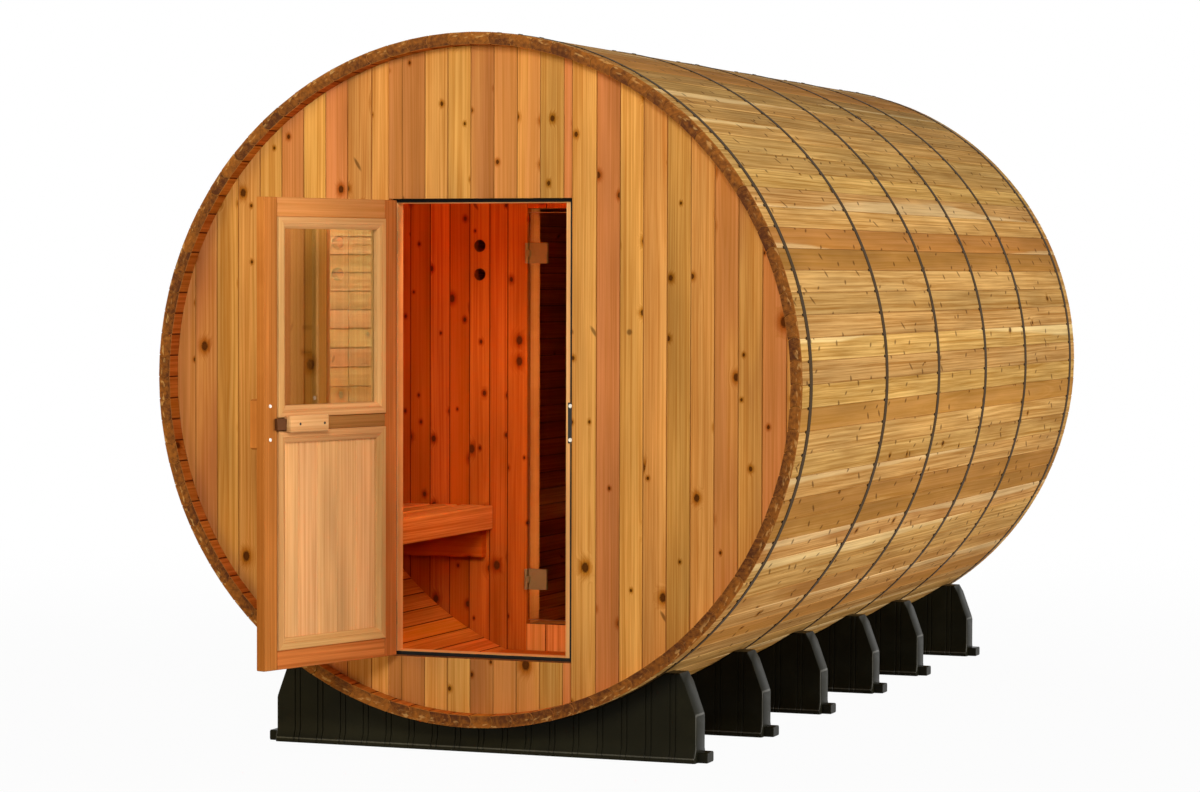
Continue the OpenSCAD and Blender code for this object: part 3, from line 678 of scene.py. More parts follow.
# Woods: pale, deep and heartwood colour, then knots, knot size, ticks, sapwood, heartwood and variety.
# Worn finishes: colour, metallic, roughness, worn patches' factor, speckle, relief and specular level.
# Glass: colour, roughness and IOR. End grain: share of torn chips.
FINISHES = {
    "stave_cedar": (cedar, "stave_pale", "stave_deep", "stave_heart", 0.08, 0.8, 0.70, 0.42, 0.27, 0.28),
    "inner_cedar": (cedar, "inner_pale", "inner_deep", "inner_pale", 0.10, 1.0, 0.0, 0.0, 0.0, 0.2),
    "wall_cedar": (cedar, "wall_pale", "wall_deep", "wall_heart", 0.50, 1.25, 0.02, 0.0, 0.42, 0.34),
    "room_cedar": (cedar, "room_pale", "room_deep", "room_heart", 0.95, 1.15, 0.04, 0.0, 0.45, 0.2),
    "floor_cedar": (cedar, "floor_pale", "room_deep", "floor_pale", 0.12, 1.0, 0.0, 0.0, 0.0, 0.2),
    "bench_cedar": (cedar, "bench_pale", "bench_deep", "bench_pale", 0.10, 0.7, 0.0, 0.0, 0.0, 0.12),
    "door_cedar": (cedar, "door_pale", "door_deep", "wall_heart", 0.04, 0.6, 0.0, 0.0, 0.30, 0.25),
    "trim_cedar": (plain_cedar, "trim_pale", "trim_deep"),
    "bead_cedar": (plain_cedar, "bead_pale", "bead_deep"),
    "rail_cedar": (plain_cedar, "rail", "rail_deep"),
    # Painted shade: the joint woods stand in for the shade in grooves, gaps, cut ends and vent holes.
    "joint_cedar": (plain_cedar, "joint_pale", "joint_deep"),
    "room_joint_cedar": (plain_cedar, "room_joint", "room_joint"),
    "stave_end_grain": (end_grain, 0.5),
    "wall_end_grain": (end_grain, 0.0),
    "band_steel": (worn, "band", 0.0, 0.5, 1.5, 600.0, 0.15, 0.03),
    "cradle_plastic": (worn, "plastic", 0.0, 0.32, 1.5, 900.0, 0.12, 0.04),
    # Painted highlight: the lighter edge plastic stands in for light caught on the cradles' edges.
    "scuffed_plastic": (worn, "scuffed", 0.0, 0.3, 1.5, 300.0, 0.12, 0.12),
    "seal_rubber": (worn, "rubber", 0.0, 0.6, 1.6, 900.0, 0.15, 0.1),
    "keeper_steel": (worn, "black_steel", 0.2, 0.45, 1.7, 700.0, 0.15, 0.2),
    "catch_steel": (worn, "catch", 0.2, 0.5, 1.4, 700.0, 0.15, 0.1),
    "hinge_metal": (worn, "hinge", 0.4, 0.45, 0.75, 900.0),
    "glass_edge": (worn, "glass_edge", 0.0, 0.3, 1.2, 900.0),
    "screw_metal": (worn, "screw", 0.3, 0.3, 0.9, 1200.0),
    "window_glass": (glass, "window", 0.003, 2.3),
    "smoked_glass": (glass, "smoked", 0.015, 1.45),
}
MADE = {}


def made_of(name):
    """The material of that name, made the first time that it is asked for."""
    if name not in MADE:
        make, *settings = FINISHES[name]
        MADE[name] = make(name, *settings)
    return MADE[name]


def stave_section(width_out, width_in, thickness, bead, cut):
    """Section of a stave, tangent across and radius in depth: flat outside and inside with cut edges,
    a shallow round edge on one side and a hollow of the same arc on the other."""
    deep = thickness / 2
    turn = np.linspace(-1.0, 1.0, 9)
    level = turn * (deep - cut)
    half = (width_in + width_out) / 4 + (width_out - width_in) / 4 * level / deep
    bulge = bead * (1 - turn * turn)
    right = np.column_stack([half + bulge, level])
    left = np.column_stack([bulge - half, level])[::-1]
    outside = np.array([[width_out / 2 - cut, deep], [cut - width_out / 2, deep]])
    inside = np.array([[cut - width_in / 2, -deep], [width_in / 2 - cut, -deep]])
    return np.concatenate([inside, right, outside, left])


def spoke(angle):
    """The ways outward and round the barrel at an angle."""
    c, s = math.cos(angle), math.sin(angle)
    return np.array([c, 0.0, s]), np.array([-s, 0.0, c])


class SAUNA_OT_staves(bpy.types.Operator):
    """Staves: each segment's boards, with a round edge nesting in the next one's hollow and sawn ends"""

    bl_idname = "sauna.staves"
    bl_label = "Staves"

    def execute(self, context):
        s = sizes()
        step = FULL_TURN / (len(SEGMENTS) * s.staves)
        middle_r = OUTER_R * math.cos(step / 2) - s.stave_t / 2
        width_out = 2 * (middle_r + s.stave_t / 2) * math.tan(step / 2) - s.stave_gap
        width_in = 2 * (middle_r - s.stave_t / 2) * math.tan(step / 2) - s.stave_gap
        section = stave_section(width_out, width_in, s.stave_t, s.stave_bead, s.stave_joint)
        woods = ["stave_cedar", "stave_end_grain", "joint_cedar", "inner_cedar", "room_joint_cedar"]
        # Sides 10 to 12 of the section face out, side 0 faces in between two cuts, the rest are joints; the
        # joints, the inner cuts and the cut ends take darker wood as painted shade.
        finish = np.full((3, len(section)), 2)
        finish[1, 10:13] = 0
        finish[1, 0] = 3
        finish[1, [1, -1]] = 4
        end_cut = 0.0012
        for k, node in enumerate(SEGMENTS):
            stock = Stock()
            for i in range(s.staves):
                number = k * s.staves + i
                outward, round_way = spoke((number + 0.5) * step)
                low = FRONT_Y + steady(number, 0.2) * s.stave_short
                high = BACK_Y - steady(number, 0.6) * s.stave_short
                stock.add(
                    carry(section, low, high, end_cut), outward * middle_r + Z_AXIS * AXIS_Z,
                    np.stack([round_way, outward, Y_AXIS]), steady(number, 0.9), finish, 1,
                )
            stock.piece("staves_%d" % (k + 1), "sauna", node, "stave_cedar", woods)
        return {"FINISHED"}


STRAP_SIDES = 240
STRAP_T, STRAP_CUT = 0.0015, 0.0004
# Painted shade: the dark clips stand in for the shade where each stave joint runs under a band.
SHADE_CLIP_W, SHADE_CLIP_T, SHADE_CLIP_CUT, SHADE_CLIP_FRONT, SHADE_CLIP_BACK = 0.009, 0.003, 0.0008, -0.012, 0.006


class SAUNA_OT_bands(bpy.types.Operator):
    """Bands: a strap with cut edges carried round the staves, with a small dark clip at every stave joint
    that stands in for the shade where the joint's groove runs under the band's edge
    """

    bl_idname = "sauna.bands"
    bl_label = "Bands"

    def execute(self, context):
        joints = len(SEGMENTS) * sizes().staves
        turn = FULL_TURN / joints
        for k in range(1, 7):
            node = "band_%d" % k
            low, high = node_box(node)
            outer = (high[2] - low[2]) / 2
            section = cut_rectangle(high[1] - low[1], STRAP_T, STRAP_CUT)
            angle = (np.arange(STRAP_SIDES) * FULL_TURN / STRAP_SIDES)[:, None]
            radius = outer - STRAP_T / 2 + section[:, 1]
            place = (low[1] + high[1]) / 2 + section[:, 0] + 0 * angle
            rings = np.stack([radius * np.cos(angle), place, AXIS_Z + radius * np.sin(angle)], axis=-1)
            stock = Stock()
            stock.add(rings, loop=True)
            # Painted shade: a dark clip at each stave joint marks the shade where the joint's groove runs
            # under the band's edge.
            clip = carry(cut_rectangle(SHADE_CLIP_W, SHADE_CLIP_T, SHADE_CLIP_CUT), SHADE_CLIP_FRONT, SHADE_CLIP_BACK)
            for i in range(joints):
                outward, round_way = spoke(i * turn)
                place = outward * outer + Z_AXIS * AXIS_Z + Y_AXIS * low[1]
                stock.add(clip, place, np.stack([round_way, outward, Y_AXIS]))
            stock.piece("strap_%d" % k, "sauna", node, "band_steel", ["band_steel"])
        return {"FINISHED"}


CRADLE_ROUND = 0.006
ROUND_TURNS = np.radians([[0.0, 90.0], [30.0, 60.0], [60.0, 30.0], [90.0, 0.0]])
ROUND_STEPS = CRADLE_ROUND * (1 - np.cos(ROUND_TURNS))
FLUTE_MARGIN = 0.012
EVEN_MARGIN, EVEN_COUNT = 0.008, 91


def flute_columns(half, s):
    """Places across a cradle: even steps, and the edges and floors of each pair of flutes, sorted."""
    pairs = np.arange(-8, 9) * s.flute_pitch
    middles = np.concatenate([pairs - s.flute_pair / 2, pairs + s.flute_pair / 2])
    edges = np.array([-0.5, -0.2, 0.2, 0.5]) * s.flute_w
    across = (middles[:, None] + edges).ravel()
    across = across[np.abs(across) < half - FLUTE_MARGIN]
    ends = half - ROUND_STEPS[:, 0]
    even = np.linspace(EVEN_MARGIN - half, half - EVEN_MARGIN, EVEN_COUNT)
    return np.unique(np.concatenate([across, even, ends, -ends]).round(6)), middles


def cradle_rings(low, high, s):
    """Rings of a cradle, one for each place across: up the front, over the saddle and down the back.
    The top follows the lowest of the saddle's circle, the horn and the leaning end, the base flares out
    to a lip, and flutes run up both faces."""
    foot_reach, lip, flare_h, flare, cut = 0.032, 0.012, 0.040, 0.012, 0.0015
    over_lip, under_top, top_cut, flute_foot, seat_gap = lip + 0.004, 0.004, 0.003, 0.004, 0.0004
    knee, lean, horn = 0.140, 0.048, high[2]
    half = (high[0] - low[0]) / 2 - foot_reach
    body = (high[1] - low[1]) / 2 - flare
    middle = (low[1] + high[1]) / 2
    across, middles = flute_columns(half, s)
    saddle = AXIS_Z - circle_half(across, OUTER_R + seat_gap)
    leaning = knee + (half - np.abs(across)) / lean * (horn - knee)
    top = np.minimum(np.minimum(saddle, horn), leaning)[:, None]
    low_rows = np.array([0.0, cut, lip, over_lip, flare_h])
    shoulder = top - under_top
    rise = np.concatenate([
        np.broadcast_to(low_rows, (len(across), len(low_rows))),
        flare_h + (shoulder - flare_h) * np.array([0.25, 0.5, 0.75]), shoulder, top,
    ], axis=1)
    at_top = rise >= top - 1e-6
    spread = np.interp(rise, [0.0, cut, lip, flare_h], [flare - cut, flare, flare, 0.0])
    spread = spread - np.where(at_top, top_cut, 0.0)
    near = np.abs(across[:, None] - middles).min(axis=1)
    flute = s.flute_deep * np.clip((s.flute_w / 2 - near) / (0.3 * s.flute_w), 0.0, 1.0)
    flute = np.where(np.abs(across) < half - FLUTE_MARGIN, flute, 0.0)[:, None]
    flute = flute * (rise > flute_foot) * ~at_top
    eased = np.interp(half - np.abs(across), ROUND_STEPS[:, 0], ROUND_STEPS[:, 1])[:, None]
    out = body + spread - flute - eased
    front = np.stack([across[:, None] + 0 * rise, middle - out, rise], axis=-1)
    back = np.stack([across[:, None] + 0 * rise, middle + out, rise], axis=-1)
    return np.concatenate([front, back[:, ::-1]], axis=1)


class SAUNA_OT_cradles(bpy.types.Operator):
    """Cradles: fluted plastic saddles with a flared base and a foot at each end"""

    bl_idname = "sauna.cradles"
    bl_label = "Cradles"

    def execute(self, context):
        s = sizes()
        for k in range(1, 7):
            node = "cradle_%d" % k
            low, high = node_box(node)
            middle = (low + high) / 2
            stock = Stock()
            rings = cradle_rings(low, high, s)
            # The upright corners at both ends and the upper edge of the lip take a lighter plastic, a painted
            # highlight where the edges catch the light.
            highlit = np.zeros((len(rings) - 1, rings.shape[1]), int)
            highlit[[1, -2], 3:-4] = 1
            highlit[2:-2, [2, -4]] = 1
            stock.add(rings, finish=highlit)
            foot_w, foot_h, reach, foot_cut, end_cut = 0.060, 0.032, 0.034, 0.003, 0.002
            foot = carry(cut_rectangle(foot_w, foot_h, foot_cut), -reach / 2, reach / 2, end_cut)
            for side in (-1, 1):
                end = middle[0] + side * ((high[0] - low[0]) / 2 - reach / 2)
                stock.add(foot, (end, middle[1], foot_h / 2), FLOORWISE)
            plastics = ["cradle_plastic", "scuffed_plastic"]
            stock.piece("saddle_%d" % k, "sauna", node, "cradle_plastic", plastics)
        return {"FINISHED"}


NARROWEST_BOARD = 0.012
BOARD_SPANS = 6
WALL_CLEARANCE = 0.0002


def board_edges(x0, x1, pitch, first):
    """Edges of the boards between x0 and x1: a first board ripped to width, then whole ones."""
    inner = np.arange(x0 + first, x1 - NARROWEST_BOARD, pitch)
    return np.concatenate([[x0], inner, [x1]])


def upright_boards(stock, edges, y_low, y_high, z_low, z_high, number, bare=()):
    """Upright boards between edges; an end that is None follows the barrel's inside.
    The sides named bare show plain wood: first is the left of the first board, last the right of the last."""
    s = sizes()
    depth = y_high - y_low
    reach = inner_reach()
    for k in range(len(edges) - 1):
        width = edges[k + 1] - edges[k] - s.board_gap
        middle = (edges[k] + edges[k + 1]) / 2
        section = cut_rectangle(width, depth, s.board_v, BOARD_SPANS)
        rise = circle_half(section[:, 0] + middle, reach)
        low = AXIS_Z - rise if z_low is None else np.maximum(z_low, AXIS_Z - rise)
        high = AXIS_Z + rise if z_high is None else np.minimum(z_high, AXIS_Z + rise)
        finish = joint_finish(BOARD_SPANS)
        if "first" in bare and k == 0:
            finish[0, -3:] = 0
        if "last" in bare and k == len(edges) - 2:
            finish[0, BOARD_SPANS:BOARD_SPANS + 3] = 0
        place = (middle, (y_low + y_high) / 2, 0.0)
        stock.add(carry(section, low, high), place, UPRIGHT, steady(number + k, 0.4), finish, 1)


def holed_rings(width, height, depth, hole, edge):
    """Rings round a hole through part of a board: out along the face to the rectangle's rim and back along
    the other. Each ring lies in one direction from the hole's middle, and meets the rectangle there."""
    walk = np.concatenate([np.linspace(-1, 1, 17)[:-1]] * 4)
    side = np.repeat(np.arange(4), 16)
    rim_x = np.choose(side, [walk, 1 + 0 * walk, -walk, -1 + 0 * walk])
    rim_z = np.choose(side, [-1 + 0 * walk, walk, 1 + 0 * walk, -walk])
    outer = np.column_stack([rim_x * width / 2, rim_z * height / 2])
    face = np.column_stack([rim_x * (width / 2 - edge), rim_z * height / 2])
    way = outer / np.linalg.norm(outer, axis=1)[:, None]
    deep = depth / 2
    round_edge = 0.0015
    bore, mouth = way * hole / 2, way * (hole / 2 + round_edge)
    stops = [
        (outer, edge - deep), (face, -deep), (mouth, -deep), (bore, round_edge - deep),
        (bore, deep - round_edge), (mouth, deep), (face, deep), (outer, deep - edge),
    ]
    rings = [np.stack([p[:, 0], level + 0 * p[:, 0], p[:, 1]], axis=-1) for p, level in stops]
    return np.stack(rings, axis=1)


def vent_board(stock, x0, x1, y_low, y_high, number):
    """The upright board with two vent holes: plain lengths above and below two holed ones."""
    s = sizes()
    width = x1 - x0 - s.board_gap
    middle = np.array([(x0 + x1) / 2, (y_low + y_high) / 2, 0.0])
    depth = y_high - y_low
    board = steady(number, 0.4)
    section = cut_rectangle(width, depth, s.board_v, BOARD_SPANS)
    rise = circle_half(section[:, 0] + middle[0], inner_reach())
    low_end = s.vent_z - s.vent_pitch / 2
    high_end = s.vent_z + s.vent_pitch * 1.5
    for low, high in ((AXIS_Z - rise, low_end), (high_end, AXIS_Z + rise)):
        stock.add(carry(section, low, high), middle, UPRIGHT, board, joint_finish(BOARD_SPANS), 1)
    for k in range(2):
        rings = holed_rings(width, s.vent_pitch, depth, s.vent_d, s.board_v)
        rings = rings + np.array([0.0, 0.0, s.vent_z + k * s.vent_pitch])
        # The vent holes' mouths and bores take the joint wood, painted shade inside the holes.
        stock.add(rings, middle, UPRIGHT, board, np.array([[2, 0, 2, 2, 2, 0, 2, 2]]), loop=True)


def inner_reach():
    """Radius of the flat inside faces of the staves, less a hair."""
    s = sizes()
    step = FULL_TURN / (len(SEGMENTS) * s.staves)
    return OUTER_R * math.cos(step / 2) - s.stave_t - WALL_CLEARANCE


def round_wall(wall, board, label, pitch, firsts, woods, slot, number):
    """A round wall with a doorway and a vent board, as six pieces in the places of its six solids.
    firsts are the widths of the boards beside the doorway: on its left, over it and on its right."""
    reach = inner_reach()
    over_low, over_high = node_box(wall + "_over_door")
    under_high = node_box(wall + "_under_door")[1]
    vent_low, vent_high = node_box(board + "_vent_board")
    door_l, door_r = over_low[0], over_high[0]
    y0, y1 = over_low[1], over_high[1]
    left = -board_edges(-vent_low[0], reach, pitch, pitch)[::-1]
    jamb = -board_edges(-door_l, -vent_high[0], pitch, firsts[0])[::-1]
    over = board_edges(door_l, door_r, pitch + 0.001, firsts[1])
    right = board_edges(door_r, reach, pitch, firsts[2])
    runs = (
        ("left", wall + "_left", left, None, None, 0, ()),
        ("jamb", board + "_jamb_board", jamb, None, None, 40, ("last",)),
        ("over_door", wall + "_over_door", over, float(over_low[2]), None, 80, ()),
        ("under_door", wall + "_under_door", over, None, float(under_high[2]), 80, ()),
        ("right", wall + "_right", right, None, None, 120, ("first",)),
    )
    for word, node, edges, z_low, z_high, shift, bare in runs:
        stock = Stock()
        upright_boards(stock, edges, y0, y1, z_low, z_high, number + shift, bare)
        wood = woods.get(word, woods["all"])
        stock.piece(label + "_" + word, "sauna", node, slot, [wood, "wall_end_grain", woods["joint"]])
    stock = Stock()
    vent_board(stock, vent_low[0], vent_high[0], y0, y1, number + 300)
    finishes = [woods["all"], "wall_end_grain", woods["joint"]]
    stock.piece(label + "_vents", "sauna", board + "_vent_board", slot, finishes)


class SAUNA_OT_front_wall(bpy.types.Operator):
    """Front wall: upright boards with cut joints, round at the barrel, and the board with two vents"""

    bl_idname = "sauna.front_wall"
    bl_label = "Front wall"

    def execute(self, context):
        # The joint wood is painted shade in the board joints and the vent holes.
        woods = {"all": "wall_cedar", "joint": "joint_cedar"}
        firsts = (0.057, 0.046, 0.080)
        pitch = sizes().board_w
        round_wall("front_wall", "front", "front_boards", pitch, firsts, woods, "wall_cedar", 1000)
        return {"FINISHED"}


class SAUNA_OT_partition(bpy.types.Operator):
    """Partition: the changing room's back wall of upright boards, with two vents and the inner doorway"""

    bl_idname = "sauna.partition"
    bl_label = "Partition"

    def execute(self, context):
        # The room's joint wood is painted shade in the board joints and the vent holes.
        woods = {"all": "room_cedar", "under_door": "bench_cedar", "joint": "room_joint_cedar"}
        firsts = (0.070, 0.072, 0.072)
        pitch = sizes().room_board_w
        round_wall("partition", "partition", "room_boards", pitch, firsts, woods, "room_cedar", 2000)
        return {"FINISHED"}


class SAUNA_OT_back_wall(bpy.types.Operator):
    """Back wall: upright boards from side to side"""

    bl_idname = "sauna.back_wall"
    bl_label = "Back wall"

    def execute(self, context):
        reach = inner_reach()
        low, high = node_box("back_wall")
        stock = Stock()
        first = 0.046
        edges = board_edges(-reach, reach, sizes().board_w, first)
        upright_boards(stock, edges, low[1], high[1], None, None, 3000)
        # The joint wood is painted shade in the board joints.
        woods = ["wall_cedar", "wall_end_grain", "joint_cedar"]
        stock.piece("back_boards", "sauna", "back_wall", "wall_cedar", woods)
        return {"FINISHED"}


class SAUNA_OT_floor(bpy.types.Operator):
    """Floor: boards across the changing room with their ends cut to the barrel"""

    bl_idname = "sauna.floor"
    bl_label = "Floor"

    def execute(self, context):
        s = sizes()
        low, high = node_box("changing_room_floor")
        reach = inner_reach()
        edges = board_edges(low[1], high[1], s.floor_board_w, s.floor_board_w)
        level = (low[2] + high[2]) / 2
        gap, cut = 0.001, 0.0025
        stock = Stock()
        for k in range(len(edges) - 1):
            section = cut_rectangle(edges[k + 1] - edges[k] - gap, high[2] - low[2], cut)
            half = circle_half(AXIS_Z - level - section[:, 1], reach)
            place = (0.0, (edges[k] + edges[k + 1]) / 2, level)
            stock.add(carry(section, -half, half), place, FLOORWISE, steady(4000 + k), joint_finish(1, 1))
        # The floor boards' edges take the room's joint wood, painted shade in the gaps.
        woods = ["floor_cedar", "room_joint_cedar"]
        stock.piece("floor_boards", "sauna", "changing_room_floor", "room_cedar", woods)
        return {"FINISHED"}


def framed(stock, low, high, width, right_width, edge, number):
    """Four boards round an upright box: uprights the full height and rails between them."""
    y_mid, depth = (low[1] + high[1]) / 2, high[1] - low[1]
    for k, (w, x) in enumerate(((width, low[0] + width / 2), (right_width, high[0] - right_width / 2))):
        section = cut_rectangle(w, depth, edge)
        stock.add(carry(section, low[2], high[2], edge), (x, y_mid, 0.0), UPRIGHT, steady(number + k))
    section = cut_rectangle(width, depth, edge)
    for k, z in enumerate((low[2] + width / 2, high[2] - width / 2)):
        ends = (low[0] + width, high[0] - right_width)
        stock.add(carry(section, ends[0], ends[1]), (0.0, y_mid, z), CROSSWISE, steady(number + 2 + k))


def screw_head(radius, proud):
    """Profile of a low round screw head with a socket in its middle."""
    return [(radius * 0.999, -0.001), (radius, 0.0), (radius * 0.92, proud * 0.7), (radius * 0.75, proud),
            (radius * 0.45, proud), (radius * 0.40, proud * 0.1), (radius * 0.05, proud * 0.1)]


OUT_OF_WALL = np.stack([X_AXIS, Z_AXIS, -Y_AXIS])
INTO_ROOM = np.stack([X_AXIS, Z_AXIS, Y_AXIS])


class SAUNA_OT_door_stop(bpy.types.Operator):
    """Door stop: four pale boards behind the doorway, and the keeper plate with its screws"""

    bl_idname = "sauna.door_stop"
    bl_label = "Door stop"

    def execute(self, context):
        low, high = node_box("door_stop")
        width, latch_width, cut = 0.044, 0.064, 0.0025
        stock = Stock()
        framed(stock, low, high, width, latch_width, cut, 5000)
        stock.piece("stop_boards", "sauna", "door_stop", "trim_cedar", ["trim_cedar"])
        keep_low, keep_high = node_box("door_keeper")
        middle = (keep_low + keep_high) / 2
        stock = Stock()
        plate_cut, screw_r, screw_proud, screw_reach = 0.0006, 0.0065, 0.0024, 0.052
        plate = cut_rectangle(keep_high[0] - keep_low[0], keep_high[1] - keep_low[1], plate_cut)
        stock.add(carry(plate, keep_low[2], keep_high[2], plate_cut), (middle[0], middle[1], 0.0), UPRIGHT)
        screw = lathe(screw_head(screw_r, screw_proud))
        for z in (middle[2] - screw_reach, middle[2] + screw_reach):
            stock.add(screw, (middle[0], keep_low[1], z), OUT_OF_WALL, finish=1)
        stock.piece("keeper_plate", "sauna", "door_keeper", "keeper_steel", ["keeper_steel", "screw_metal"])
        return {"FINISHED"}


class SAUNA_OT_bench(bpy.types.Operator):
    """Bench: slats, a front board and the cleats that carry them, with eased edges"""

    bl_idname = "sauna.bench"
    bl_label = "Bench"

    def execute(self, context):
        low, high = node_box("bench_slats")
        slat, pitch, slat_cut, board_cut, end_cut = 0.086, 0.102, 0.004, 0.003, 0.002
        count = int(round((high[0] - low[0] - slat) / pitch)) + 1
        board = carry(cut_rectangle(slat, high[2] - low[2], slat_cut), low[1], high[1], end_cut)
        stock = Stock()
        for k in range(count):
            x = high[0] - slat / 2 - k * pitch
            level = (low[2] + high[2]) / 2
            stock.add(board, (x, 0.0, level), LENGTHWISE, steady(6000 + k))
        stock.piece("bench_boards", "sauna", "bench_slats", "bench_cedar", ["bench_cedar"])
        low, high = node_box("bench_apron")
        middle = (low + high) / 2
        stock = Stock()
        board = carry(cut_rectangle(high[2] - low[2], high[0] - low[0], board_cut), low[1], high[1], end_cut)
        stock.add(board, (middle[0], 0.0, middle[2]), EDGEWISE, steady(6100))
        stock.piece("bench_front", "sauna", "bench_apron", "bench_cedar", ["bench_cedar"])
        low, high = node_box("bench_cleats")
        stock = Stock()
        thick = 0.038
        reach = inner_reach()
        section = cut_rectangle(high[2] - low[2], thick, board_cut, BOARD_SPANS)
        middle_z = (low[2] + high[2]) / 2
        stave_side = -circle_half(AXIS_Z - middle_z - section[:, 0], reach)
        for k, y in enumerate((low[1] + thick / 2, high[1] - thick / 2)):
            stock.add(carry(section, stave_side, high[0]), (0.0, y, middle_z), CROSSWISE, steady(6200 + k))
        stock.piece("bench_rails", "sauna", "bench_cleats", "bench_cedar", ["room_cedar"])
        return {"FINISHED"}


class SAUNA_OT_posts(bpy.types.Operator):
    """Inner doorway: posts, head and sill behind the partition"""

    bl_idname = "sauna.posts"
    bl_label = "Inner doorway"

    def execute(self, context):
        low, high = node_box("glass_door_posts")
        width, cut = 0.045, 0.003
        stock = Stock()
        framed(stock, low, high, width, width, cut, 7000)
        stock.piece("doorway_posts", "sauna", "glass_door_posts", "room_cedar", ["bench_cedar"])
        return {"FINISHED"}


def bead_section(width, height):
    """Section of a bead, in from the opening's edge and up from the filling: a flat with an eased edge,
    a small quirk and a slope down to the filling."""
    w, h = width, height
    return np.array([
        (0.0, 0.0), (w, 0.0), (w, h - 0.0085), (w - 0.0025, h - 0.0065), (w - 0.013, h - 0.0012),
        (w - 0.0145, h - 0.0022), (w - 0.016, h), (0.0015, h), (0.0, h - 0.0015),
    ])


def mitred_beads(stock, x0, x1, z0, z1, y_base, way, height, width, number):
    """Four mitred beads round an opening on one face; each bead's ends run in as far as its section does."""
    section = bead_section(width, height)
    inset = section[:, 0]
    up = way * Y_AXIS
    sides = (
        ((x0, y_base, z0), Z_AXIS, X_AXIS, x1 - x0), ((x0, y_base, z1), -Z_AXIS, X_AXIS, x1 - x0),
        ((x0, y_base, z0), X_AXIS, Z_AXIS, z1 - z0), ((x1, y_base, z0), -X_AXIS, Z_AXIS, z1 - z0),
    )
    for k, (corner, inward, along, run) in enumerate(sides):
        axes = np.stack([inward, up, along])
        stock.add(carry(section, inset, run - inset), corner, axes, steady(number + k))


